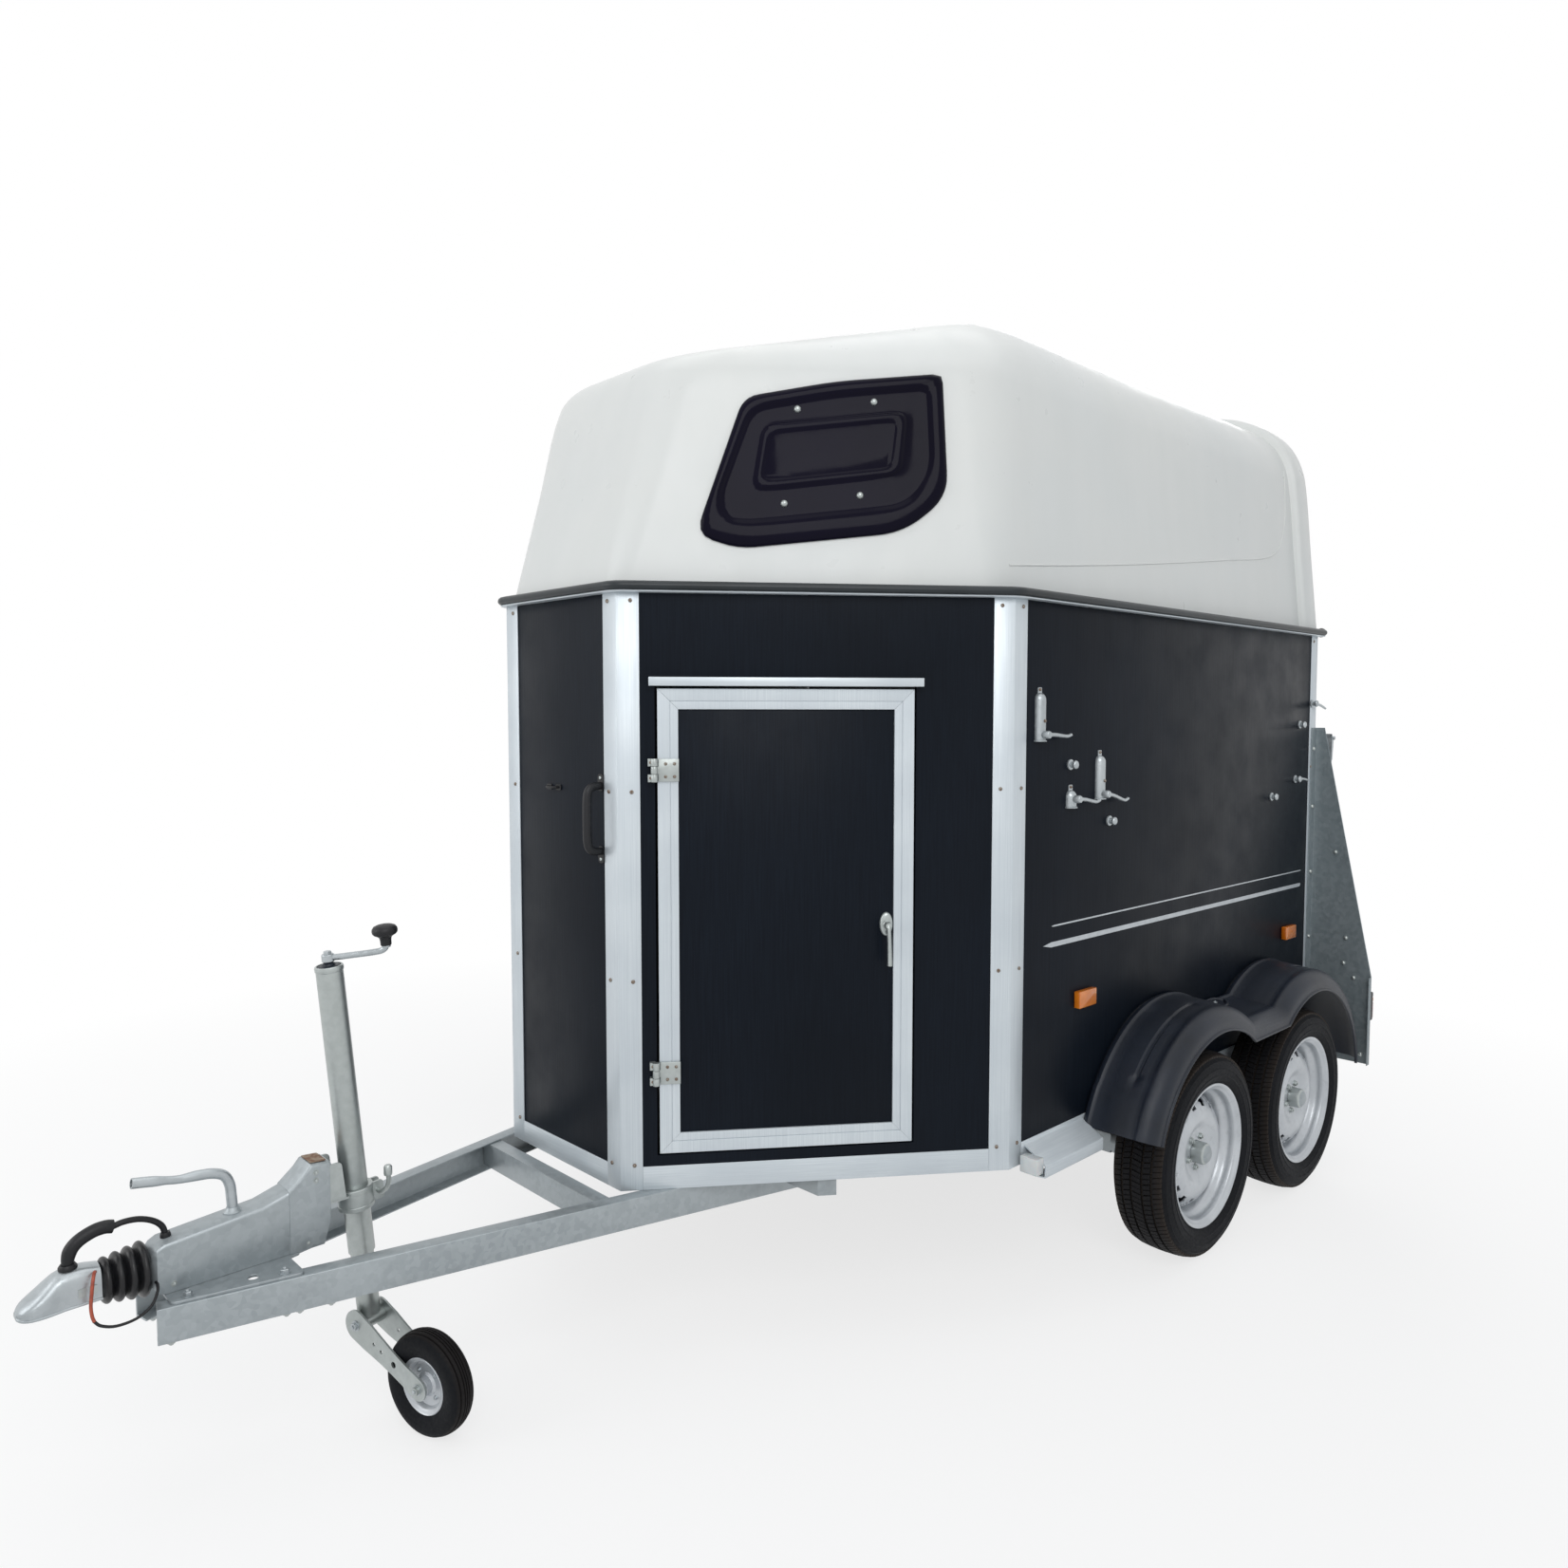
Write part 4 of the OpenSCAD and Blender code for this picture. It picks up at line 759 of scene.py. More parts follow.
# %% [markdown]
# The hood is one moulding. Its shape is a stack of levels: at each, the front, the slanted corners and the
# sides lie so far inside the walls, and the corners are rounded off more and more towards the roof. The
# levels are the solid's own; here a curve without overshoot runs through them, so that the skin is smooth.

# %% The hood's levels and rings
HOOD = (
    # front z, side z, front in, slant in, side in, rounding (mm), slope of the skin (degrees)
    (0, 0, 4, 14, 30, 50, 0), (270, 280, 82, 50.3, 58, 75, 6), (540, 556, 160, 86, 86, 100, 14),
    (582, 620, 186, 112, 104, 120, 30), (610, 685, 236, 158, 140, 150, 45),
    (645, 750, 350, 246, 210, 190, 60), (706, 805, 560, 400, 330, 200, 72),
    (770, 845, 860, 640, 545, 120, 84), (868, 872, 1270, 950, 835, 8, 90),
)
# The rear hoop's section: a place along the trailer (m) and its share of the rise
HOOP = ((0.0, 0.0), (-0.004, 0.3), (-0.009, 0.8), (-0.016, 1.0), (-0.05, 1.06), (-0.096, 1.0),
        (-0.107, 0.85), (-0.113, 0.5))
HOOP_WIDE, HOOP_RISE, HOOD_WALL = 0.095, 0.026, 0.005
SIDE_STATIONS = (-0.63, -1.0, -1.3, -1.6)
LEVEL_STEPS, CORNER_STEPS = 5, 10
hood_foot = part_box("hood")[0].z
reach = [0.0]
for row, after in zip(HOOD, HOOD[1:]):
    reach.append(reach[-1] + math.hypot(after[1] - row[1], after[4] - row[4]))
hood_curves = [curve_through(reach, [row[k] for row in HOOD]) for k in range(7)]


def hood_half_ring(along, out):
    """The left half of the ring at a distance up the hood's side; out moves the skin outwards."""
    *lengths, slope = (curve(along) for curve in hood_curves)
    front_z, side_z, front_in, slant_in, side_in, cut = (v / 1000 for v in lengths)
    lean_out, lean_up = math.cos(math.radians(slope)), math.sin(math.radians(slope))
    shift = out * lean_out
    b, c = wall_corners(shift - front_in, shift - slant_in, shift - side_in)
    cut = min(cut, (c - b).length * 0.4)
    ring = []
    for p in (bend(Vector((b.x, 0)), b, c, min(cut, b.y * 0.8), CORNER_STEPS)
              + bend(b, c, Vector((rear_x, c.y)), cut, CORNER_STEPS)):
        t = min(1, max(0, (p.x - b.x) / (c.x - b.x)))
        ring.append(Vector((p.x, p.y, front_z * (1 - t) + side_z * t)))
    ring += [Vector((x, c.y, side_z)) for x in SIDE_STATIONS]
    for x, share in HOOP:
        lift = HOOP_RISE * share
        ring.append(Vector((rear_x + HOOP_WIDE + x, c.y + lift * lean_out, side_z + lift * lean_up)))
    for p in ring:
        p.z = hood_foot + max(p.z + out * lean_up, 0)
    return ring


def hood_rings(out):
    levels = [low + (high - low) * k / LEVEL_STEPS
              for low, high in zip(reach, reach[1:]) for k in range(LEVEL_STEPS)]
    halves = [hood_half_ring(along, out) for along in levels + [reach[-1]]]
    return [half[::-1] + [Vector((p.x, -p.y, p.z)) for p in half] for half in halves]


# %% Build the hood as one shell with a foot, a rear edge and a closed crown
def hood_shell():
    outer, inner = hood_rings(0.0), hood_rings(-HOOD_WALL)
    n, m = len(outer[0]), len(outer)
    size, faces = m * n, []
    for start in (0, size):
        for k in range(m - 1):
            faces += [(a, a + n, a + n + 1, a + 1) for a in range(start + k * n, start + k * n + n - 1)]
        crown = start + size - n
        faces += [(crown + j, crown + n - 1 - j, crown + n - 2 - j, crown + j + 1)
                  for j in range(n // 2 - 1)]
    rim = [(j, j + 1) for j in range(n - 1)] + [(size - n, size - 1)]
    for k in range(m - 1):
        rim += [(k * n, k * n + n), (k * n + n - 1, k * n + 2 * n - 1)]
    faces += [(a, b, b + size, a + size) for a, b in rim]
    return outwards(piece("hood_moulding", [p for ring in outer + inner for p in ring], faces))


# The window lies flat on the slanted wall of the hood, which leans back by this angle
hood_lean = math.atan((HOOD[2][3] - HOOD[0][3]) / HOOD[2][1])
on_hood = axes(on_slant(0, -HOOD[0][3] / 1000, hood_foot), slant_along,
               UP * math.cos(hood_lean) - slant_out * math.sin(hood_lean),
               slant_out * math.cos(hood_lean) + UP * math.sin(hood_lean))
# Outlines of the window: its edge, the inside of its round rim, the raised frame in its middle and its pane
OUTLINES = (
    ((.196, .120, .050), (.306, .088, .040), (.730, .138, .070), (.848, .236, .060), (.842, .560, .022),
     (.560, .528, .060), (.322, .478, .040)),
    ((.252, .196, .055), (.300, .158, .040), (.735, .212, .050), (.800, .300, .050), (.796, .512, .018),
     (.560, .484, .060), (.345, .440, .040)),
    ((.346, .238, .030), (.722, .290, .030), (.742, .452, .030), (.372, .404, .030)),
    ((.366, .262, .022), (.698, .306, .022), (.716, .428, .022), (.390, .384, .022)),
)
window_middle = Vector((.545, .335))
WINDOW_LIP, HOLE_STEPS = 0.022, 72


def window_radius(outline, way):
    """How far the outline lies from the window's middle in that direction."""
    for p, q in zip(outline, outline[1:] + outline[:1]):
        side, d = q - p, p - window_middle
        cross = way.x * side.y - way.y * side.x
        if abs(cross) < 1e-12:
            continue
        far, share = (d.x * side.y - d.y * side.x) / cross, (d.x * way.y - d.y * way.x) / cross
        if far > 0 and -1e-9 <= share <= 1 + 1e-9:
            return far
    return 0.1


def window_ring(start, end, share, steps, more=0.0):
    """A ring that has gone so far from one outline to the next."""
    edges = [arc_points(OUTLINES[k]) for k in (start, end)]
    ring = []
    for way in (Vector((math.cos(a), math.sin(a))) for a in turns(steps)):
        r = window_radius(edges[0], way) * (1 - share) + window_radius(edges[1], way) * share
        ring.append(window_middle + way * (r + more))
    return ring


hood_moulding = hood_shell()
hole = slab("window_hole", window_ring(0, 0, 0.0, HOLE_STEPS, -WINDOW_LIP), -0.06, 0.06, on_hood)
for tool in (hole, mirrored(hole, "window_hole_right")):
    cut_away(hood_moulding, tool)
settle(hood_moulding, gelcoat, "hood", "hood", angle=40)
print("hood faces:", len(hood_moulding.data.polygons))

# %% [markdown]
# The hood window is one blown sheet of tinted acrylic: a round rim all the way round, a flat trough and a
# raised frame in the middle. It is drawn as rings that pass from one outline to the next while their
# height over the hood goes up and down.

# %% The hood windows
WINDOW_PROFILE = (
    # outline from, outline to, share of the way, height over the hood (mm)
    (0, 1, 0.0, 0.3), (0, 1, 0.0, 5), (0, 1, 0.06, 10), (0, 1, 0.2, 14), (0, 1, 0.42, 16),
    (0, 1, 0.66, 15), (0, 1, 0.84, 11), (0, 1, 0.95, 7.5), (0, 1, 1.0, 6.5), (1, 2, 0.12, 6),
    (1, 2, 0.5, 6.3), (1, 2, 0.86, 6), (1, 2, 0.96, 7.5), (2, 3, 0.0, 10.5), (2, 3, 0.3, 12),
    (2, 3, 0.7, 11.5), (2, 3, 1.0, 8), (2, 3, 1.12, 7),
)
WINDOW_STEPS = 128
window_rings = [[on_hood @ Vector((p.x, p.y, height / 1000))
                 for p in window_ring(start, end, share, WINDOW_STEPS)]
                for start, end, share, height in WINDOW_PROFILE]
settle_pair(skin("hood_window_left", window_rings), acrylic, "window", [["hood_windows"]] * 2, 50)
window_screws = [(on_hood @ Vector((s, up, 0.0062)), on_hood.to_3x3() @ UP)
                 for s, up in ((.459, .450), (.658, .476), (.421, .204), (.616, .230))]
fasten("window_screws", both_sides(window_screws), dome_head, 0.0095, zinc)
print("window screws a side:", len(window_screws))

# %% [markdown]
# A road wheel has four layers: the carcass with its side wall, the tread, the rim and the disc. The tread
# is one pitch of five blocks that a Geometry Nodes tree sets round the wheel; the grooves between them
# keep their brown dust, which a point attribute tells the rubber.

# %% Carcass and tread patterns
tyre_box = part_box("tyre_front_left")
tyre_r = (tyre_box[1].z - tyre_box[0].z) / 2
CARCASS = (
    # radius and distance from the tyre's middle plane, in millimetres, from the bead to the crown
    (204, 60), (206, 66), (214, 73), (219, 75), (222, 74), (226, 77.5), (234, 82), (240, 84.6),
    (241.5, 86), (244, 86), (245.5, 85), (256, 86.6), (261, 86.8), (262.2, 88), (265, 88), (266.4, 86.6),
    (276, 85), (283, 82.8), (284.4, 83.6), (286.6, 83), (288, 80.8), (293, 76), (298, 70), (301, 62),
    (302, 50), (302.4, 30), (302.6, 12),
)
TREAD_COUNT = 60
pitch = 2 * math.pi * tyre_r / TREAD_COUNT
BLOCKS = (
    # from and to across the tread, drop of the two edges below the crown, slant of the two edges (mm)
    (-14, 14, 0, 0, -3, 3), (20, 43, 0.4, 1.6, 2, -4), (-43, -20, 1.6, 0.4, 4, -2),
    (49, 74, 2.2, 8.5, 6, 0), (-74, -49, 8.5, 2.2, 0, -6),
)


def both_halves(half):
    """A profile of (radius, distance from the middle) with its mirror image."""
    return tuple(half) + tuple((r, -z) for r, z in half[::-1])


def add_dust(made, amount):
    """A point attribute that says how dusty the rubber is; amount is a function of the place."""
    dust = made.data.attributes.new("dust", "FLOAT", "POINT")
    for point in made.data.vertices:
        dust.data[point.index].value = amount(point.co)
    return made


def tread_blocks():
    """One pitch of the tread, with its outside towards +Z and the axle along Y."""
    points, faces = [], []
    for low_y, high_y, drop_low, drop_high, slant_low, slant_high in BLOCKS:
        start = len(points)
        for y, drop, slant in ((low_y, drop_low, slant_low), (high_y, drop_high, slant_high)):
            for share in (-0.455, -0.02, 0.02, 0.455):
                x = share * pitch + slant / 1000
                points += [(x * 0.985, y / 1000, -0.0125 - drop / 1000), (x, y / 1000, -drop / 1000)]
        for a, b in ((start, start + 8), (start + 4, start + 12)):
            faces += [(a, a + 2, b + 2, b), (a + 1, b + 1, b + 3, a + 3), (a, a + 1, a + 3, a + 2),
                      (b, b + 2, b + 3, b + 1), (a, b, b + 1, a + 1), (a + 2, a + 3, b + 3, b + 2)]
    made = outwards(piece("tread_pattern", points, faces))
    round_edges(made, 0.0011, 1, 40)
    return hidden(add_dust(made, lambda p: 0.8 if p.z < -0.008 else 0.12))


carcass_pattern = turned("carcass_pattern", both_halves(CARCASS), HERE, 96)
hidden(add_dust(carcass_pattern, lambda p: 1.0 if p.xy.length > 0.2995 else 0.0))
tread_pattern = tread_blocks()
print("tread pitch", round(pitch, 4))

# %% Rim and disc patterns
RIM = (
    # radius and distance from the wheel's middle plane (mm), here and in the disc
    (215, 71), (217.5, 73.5), (217, 76.5), (213.5, 77), (209, 74.6), (205, 70), (202, 66.5), (198.6, 65),
    (196.6, 62), (196, 50), (195, 42), (192, 37), (186, 31), (181, 24), (178.6, 14), (178, 0), (178, -24),
    (183, -36), (192, -44), (197, -52), (197, -62), (206, -70), (214, -76), (217, -74), (216, -71),
    (210, -69), (203, -60), (201, -48), (182, -30), (181.5, 10), (184, 22), (199, 36), (201, 50),
    (202, 60), (208, 67),
)
DISC = (
    (33, 30), (58, 30), (66, 30.5), (73, 32.5), (80, 37), (88, 42.5), (97, 46.2), (108, 48), (120, 47.4),
    (131, 44.6), (141, 40), (148, 35.4), (152, 32), (161, 23.6), (165, 19), (171, 11), (176, 5),
    (178.5, 2),
)
SLOTS, SLOT_STEPS = 16, 10
VALVE_PLACE = Matrix.Translation((0.183, 0.012, 0.030))


def in_a_slot(middle):
    """Whether a face of the disc lies in one of its slots, which are wider in their middle."""
    r = middle.xy.length
    turn = (math.atan2(middle.y, middle.x) / (2 * math.pi) * SLOTS) % 1 - 0.5
    return 0.143 < r < 0.169 and abs(turn) < (0.32 if 0.150 < r < 0.163 else 0.22)


rim_pattern = turned("rim_pattern", RIM, HERE, 96, True)
disc_pattern = turned("disc_pattern", DISC, HERE, SLOTS * SLOT_STEPS)
work = bmesh.new()
work.from_mesh(disc_pattern.data)
gone = [face for face in work.faces if in_a_slot(face.calc_center_median())]
bmesh.ops.delete(work, geom=gone, context="FACES")
work.to_mesh(disc_pattern.data)
work.free()
sheet = disc_pattern.modifiers.new("plate", "SOLIDIFY")
sheet.thickness, sheet.offset = 0.006, -1.0
round_edges(bake(disc_pattern), 0.0012, 1, 50)
# A black plate behind the disc: partly the brake's real back plate, partly painted shade that keeps the inside
# of the rim dark through the slots.
brake_plate = turned("brake_plate", ((118, -16), (176.5, -16), (176.5, -11), (118, -11)), HERE, 48, True)
hidden(brake_plate)
wheel_pattern = hidden(joined("wheel_pattern", [
    rim_pattern, disc_pattern,
    turned("valve_foot", ((0, -6), (7.5, -6), (7.5, 4), (5, 9), (0, 9)), VALVE_PLACE, 12),
    turned("valve", ((0, 5), (4, 5), (4, 28), (4.6, 29), (4.6, 36), (0, 37)), VALVE_PLACE, 12)]))
print("faces taken out for the slots:", len(gone))

# %% Four road wheels
BOLTS_R, DISC_OUT = 0.049, 0.0302
HUB_CAP = ((0, 30), (31, 30), (33.5, 32), (33.5, 58), (32, 64), (27, 68), (15, 70.5), (0, 71))
for corner in ("front_left", "front_right", "rear_left", "rear_right"):
    low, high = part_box("tyre_" + corner)
    centre = (low + high) / 2
    side = 1 if centre.y > 0 else -1
    place = axes(centre, AHEAD, -UP * side, LEFT * side)
    body = body_of["tyre_" + corner]
    tyre = run_tree(copied(carcass_pattern, "road_tyre_" + corner), TREAD,
                    {"Blocks": tread_pattern, "Count": TREAD_COUNT, "Radius": tyre_r, "Finish": tyre_black})
    tyre.data.transform(place)
    settle(tyre, tyre_black, "tyre", "tyre_" + corner, body=body, angle=35)
    rim = copied(wheel_pattern, "road_rim_" + corner, place)
    settle(rim, silver, "rim", "rim_" + corner, body=body, angle=40)
    # The black plate behind the disc: painted shade for the inside of the rim.
    settle(copied(brake_plate, "brake_plate_" + corner, place), guard_black, "black plastic", body=body)
    bolts = [(place @ Vector((BOLTS_R * math.cos(a), BOLTS_R * math.sin(a), DISC_OUT)), LEFT * side)
             for a in turns(5, 0.25)]
    fasten("wheel_bolts_" + corner, bolts, hex_head, 0.0115, zinc, "rim", body)
    settle(turned("hub_cap_" + corner, HUB_CAP, place, 40), zinc, "rim", body=body)
print("tyre faces:", len(tyre.data.polygons), "rim faces:", len(rim.data.polygons))

# %% [markdown]
# Each pair of wheels runs under one black moulding with two humps. The section is a row of points from the
# wall outwards, with a ridge near the wall, a groove and a rounded shoulder; the arc that it follows is the
# solid's own. Bands across it rise and fall with smooth steps.

# %% Mudguards
front_wheel, rear_wheel = (sum(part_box(name), Vector()) / 2 for name in ("tyre_front_left", "tyre_rear_left"))
GUARD = (
    # distance from the trailer's middle, height over the lip, share of the groove (mm)
    (862.6, 74, 0), (866, 80, 0), (872, 82.5, 0), (879, 82, 0), (884, 78.5, 0), (890, 76.4, 0),
    (920, 75.4, 0), (950, 73.6, 0), (966, 72.2, 0), (971, 71.6, 1), (975, 71.2, 1), (979, 70.8, 1),
    (984, 70.4, 0), (1004, 68.4, 0), (1016, 66.6, 0), (1021, 67.6, 0), (1027, 68.4, 0), (1034, 67, 0),
    (1044, 62.4, 0), (1054, 55, 0), (1062, 45.6, 0), (1067.5, 35, 0), (1070, 25, 0), (1070.8, 12, 0),
    (1071.4, 8, 0), (1074.6, 6.4, 0), (1076, 3.4, 0), (1075, 0.4, 0), (1071, -0.6, 0), (1067, 1, 0),
    (1066, 12, 0), (1065, 27, 0), (1056, 43, 0), (1040, 54, 0), (1026, 60, 0), (990, 64, 0), (930, 69, 0),
    (863, 71, 0),
)
OUTER_POINTS, BAND_TO = 28, 1060
GUARD_LIP_R, GUARD_DIP_Z, ARCH_STEPS = 0.385, 0.620, 44
GUARD_FROM, GUARD_TO = math.radians(20), math.radians(172)


def guard_row(i):
    """The section at one step of the two arches."""
    row = []
    share = i / ARCH_STEPS if i <= ARCH_STEPS else (i - ARCH_STEPS - 1) / ARCH_STEPS
    from_end = min(i, 2 * ARCH_STEPS + 1 - i) / ARCH_STEPS
    band = 3.2 * (1 - smooth_step(0.145, 0.165, from_end)) + 1.6 * (1 - smooth_step(0.02, 0.035, from_end))
    groove = -5 * smooth_step(0.19, 0.2, from_end) * (1 - smooth_step(0.66, 0.68, from_end))
    across = -2.6 * smooth_step(0.5, 0.52, from_end) * (1 - smooth_step(0.53, 0.55, from_end))
    for y, h, cut in GUARD:
        outside = h > 0 and y < BAND_TO and len(row) < OUTER_POINTS
        lifted = (h + outside * (band + groove * cut + (across if 884 < y < 1016 else 0))) / 1000
        r = GUARD_LIP_R + lifted
        low = math.pi - math.asin((GUARD_DIP_Z + lifted * 0.95 - front_wheel.z) / r)
        if i <= ARCH_STEPS:
            a, centre = GUARD_FROM + (low - GUARD_FROM) * share, front_wheel
        else:
            a, centre = math.pi - low + (GUARD_TO - math.pi + low) * share, rear_wheel
        row.append(Vector((centre.x + r * math.cos(a), y / 1000, front_wheel.z + r * math.sin(a))))
    return row


guard_left = skin("guard_left", [guard_row(i) for i in range(2 * ARCH_STEPS + 2)])
settle_pair(guard_left, guard_black, "guard", (["mudguard_left"], ["mudguard_right"]), 30)
print("mudguard faces:", len(guard_left.data.polygons))

# %% [markdown]
# A black rubber bead runs round the top of the walls, and the edge of an aluminium strip shows below it.
# Both are sections drawn along the same line, which is the walls' own outline moved outwards.

# %% The rail and its strip
rail_rear_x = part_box("rim_rail")[0].x
RAIL = ((-26, 6), (2, 6), (8, 5), (20, 5), (26, 7), (29.4, 11.5), (30, 16), (28.6, 21), (24, 25.6),
        (16, 27.8), (6, 28), (-26, 28))
STRIP = ((-15, 0), (19, 0), (22.4, 0.8), (23.6, 2.6), (22.4, 4.6), (18, 5), (-15, 5))
WALL_ROUND, ROUND_STEPS = 0.03, 5


def wall_line(out):
    """The walls' outline moved outwards, from the left rear to the right rear, its corners rounded."""
    b, c = wall_corners(out, out, out)
    line = [Vector((rail_rear_x, half_w + out))]
    line += bend(line[0], c, b, WALL_ROUND, ROUND_STEPS)
    line += bend(c, b, Vector((b.x, 0)), WALL_ROUND, ROUND_STEPS)
    return line + [Vector((p.x, -p.y)) for p in reversed(line)]


def along_walls(name, section):
    """Draws a closed section of (out of the wall, over the walls' top) in millimetres along the walls."""
    rows = [[Vector((p.x, p.y, wall_top + z)) for p in wall_line(out)] for out, z in mm(section)]
    return skin(name, [list(ring) for ring in zip(*rows)])


settle(along_walls("top_rail", RAIL), rail_black, "rail", "rim_rail", angle=40)
settle(along_walls("rail_strip", STRIP), aluminium_level, "aluminium", angle=40)
CAP = ((0, -12), (16.5, -12), (17.5, -4), (16.5, 4), (11, 8.5), (0, 10))
rail_ends = []
for side in (1, -1):
    rail_end = Vector((rail_rear_x, side * (half_w + 0.009), wall_top + 0.0155))
    rail_ends.append(turned("cap", CAP, axes(rail_end, UP, LEFT, -AHEAD), 24))
settle(joined("rail_ends", rail_ends), rail_black, "rail")
print("rail points:", len(RAIL), "strip points:", len(STRIP))

# %% [markdown]
# Two silver stripes run along each side: a wide one that starts and ends in a point, and a hairline above
# it. They are film, and lie four tenths of a millimetre over the wall.

# %% Stripes along the sides
side_plane = axes(LEFT * half_w, AHEAD, UP, LEFT)
WIDE = ((-.136, 1.0165), (-.175, 1.0225), (-1.868, 1.0135), (-1.874, 1.0085), (-1.866, 1.0005),
        (-.175, 1.0085))
HAIRLINE = ((-.176, 1.0665), (-.186, 1.0690), (-1.872, 1.0630), (-1.872, 1.0590), (-.186, 1.0645))
stripes = [slab("film", outline, -0.0002, 0.0004, side_plane) for outline in (WIDE, HAIRLINE)]
stripes += [mirrored(film, "film") for film in stripes]
settle(joined("side_stripes", stripes), stripe, "aluminium")

# %% [markdown]
# The corner profiles are screwed to the walls in pairs, one screw in each leg, at four heights. The
# screws have let some rust out, so they are browner than the profile.

# %% Screws of the corner profiles, the wing plates and the strips
SCREW_HEIGHTS = (0.043, 0.356, 0.673, 0.987)
TRIM_OUT, TRIM_IN = 0.003, 0.034
corner_screws = []
for share in SCREW_HEIGHTS:
    z = wall_low + (wall_top - wall_low) * share
    corner_screws += [(Vector((front_x + TRIM_OUT, nose_half - TRIM_IN, z)), AHEAD),
                      (on_slant(TRIM_IN, TRIM_OUT, z), slant_out),
                      (on_slant(slant_l - TRIM_IN, TRIM_OUT, z), slant_out),
                      (Vector((side_front_x - TRIM_IN, half_w + TRIM_OUT, z)), LEFT)]
    if share > 0.5:
        corner_screws.append((Vector((rear_x + 0.038, half_w + TRIM_OUT, z)), LEFT))
fasten("corner_screws", both_sides(corner_screws), pan_head, 0.0052, rusty_zinc, "aluminium")
WING_BOLTS = ((.948, 1.130), (.994, .808), (.988, .712), (1.026, .661), (1.058, .376), (1.034, .384))
wing_bolts = [(Vector((rear_x, y, z)), AHEAD) for y, z in WING_BOLTS]
wing_nuts = [(Vector((rear_x - 0.003, y, z)), -AHEAD) for y, z in WING_BOLTS[:2]]
wing_bolts += [(Vector((rear_x + 0.022, half_w + 0.0063, z)), LEFT) for z in (1.52, 1.30, 1.05, .80, .58)]
fasten("wing_bolts", both_sides(wing_bolts), dome_head, 0.0085, zinc)
fasten("wing_nuts", both_sides(wing_nuts), hex_head, 0.0095, zinc)
print("corner screws:", 2 * len(corner_screws), "wing bolts:", 2 * len(wing_bolts))

# %% [markdown]
# On the front wall sits a small black staple to tie a lead rope to: two pads with a bow between them.

# %% Tie staple
front_place = axes(Vector((front_x, -0.029, 1.4535)), LEFT, UP, AHEAD)
BOW = ((-22, 0, 2), (-20, 0, 11), (-10, 0, 16), (10, 0, 16), (20, 0, 11), (22, 0, 2))
staple = [tube("bow", [front_place @ Vector(p) for p in mm(BOW)], 0.0034, 10, 3)]
for middle in (-22, 22):
    pad = oblong(middle - 12.5, middle + 12.5, -7.5, 7.5, 5)
    staple.append(rounded_plate("pad", pad, 0, 3.2, front_place, 3))
settle(joined("tie_staple", staple), grip_black, "black plastic")

# %% [markdown]
# The door's frame is an aluminium profile cut at 45 degrees in the corners. It has a rounded outer edge,
# a wide outer face, a fine groove and a slightly lower inner face. Each of the four bars is a section
# between two slanted ends, and the hair-thin gap that is left at the corners shows as the mitre.

# %% Door frame
z0, z1 = (corner.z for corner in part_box("door_frame"))
s0, s1 = 0.098, 0.752
FRAME = (
    # from the outer edge inwards, and out of the wall (mm)
    (0, -18), (0, 3.6), (0.5, 5.2), (1.8, 6), (29.6, 6), (30.5, 5.6), (30.9, 3.6), (31.9, 3.6),
    (32.3, 4.9), (33, 5.3), (50.2, 5.3), (51.5, 4.8), (52, 3.4), (52, -18),
)
DOOR_BARS = (
    # the two ends and the way inwards, each along the wall and upwards
    ((s0, z0), (s1, z0), (0, 1)), ((s0, z1), (s1, z1), (0, -1)),
    ((s0, z0), (s0, z1), (1, 0)), ((s1, z0), (s1, z1), (-1, 0)),
)
MITRE = 0.0003
bars = []
for start, end, (in_s, in_z) in DOOR_BARS:
    bars.append(skin("bar", [[on_slant(s + abs(in_z) * way * (d + MITRE) + in_s * d, out,
                                       z + abs(in_s) * way * (d + MITRE) + in_z * d) for d, out in mm(FRAME)]
                             for (s, z), way in ((start, 1), (end, -1))]))
settle(joined("door_frame_bars", bars), aluminium_upright, "aluminium", "door_frame", body="door", angle=25)
print("door frame bars:", len(bars))

# %% [markdown]
# Lock and hinges are plain hardware. The rose is a shallow oval dome with a key cylinder, and the handle
# leaves it through a collar, bends and hangs down, a little flatter and wider towards its end.

# %% Door lock
lock_s, lock_z = s1 - 0.071, 1.107
ROSE = ((17, 31, 0), (17, 31, 4), (16.4, 30.2, 6.4), (14.4, 27.6, 8.6), (11, 23, 10.2))
LEVER = ((0, 20, 4), (0, 29, 1), (0.5, 33.5, -8), (1.4, 33.4, -24), (2.8, 32, -52), (3.6, 31.5, -80),
         (4, 32, -98), (4, 32, -103))


def on_door(s, out, z):
    """A place by the lock in millimetres: back along the wall, out of it and up."""
    return on_slant(lock_s + s / 1000, out / 1000, lock_z + z / 1000)


rose = skin("rose", [[on_door(half_x * math.cos(a), out, half_z * math.sin(a)) for a in turns(40)]
                     for half_x, half_z, out in ROSE])
collar = turned("collar", ((0, 8), (11.5, 8), (11.5, 17), (9.5, 19), (9.5, 32), (7.5, 36), (0, 36.5)),
                axes(on_door(0, 0, 0), slant_along, UP, slant_out), 28)
handle = tube("handle", [on_door(*p) for p in LEVER], lambda t: 0.0068 + 0.0014 * smooth_step(0.45, 0.9, t),
              16, 5, 0.8)
key_place = axes(on_door(0, 10, -19), slant_along, UP, slant_out)
key_ring = turned("key_ring", ((0, 0), (7.8, 0), (7.8, 1.2), (6.6, 2), (5.2, 2), (4.8, 1.2), (0, 1.2)),
                  key_place, 24)
lock = joined("door_lock_handle", [rose, collar, handle, key_ring])
settle(lock, zinc, "aluminium", "door_lock", body="door", angle=35)
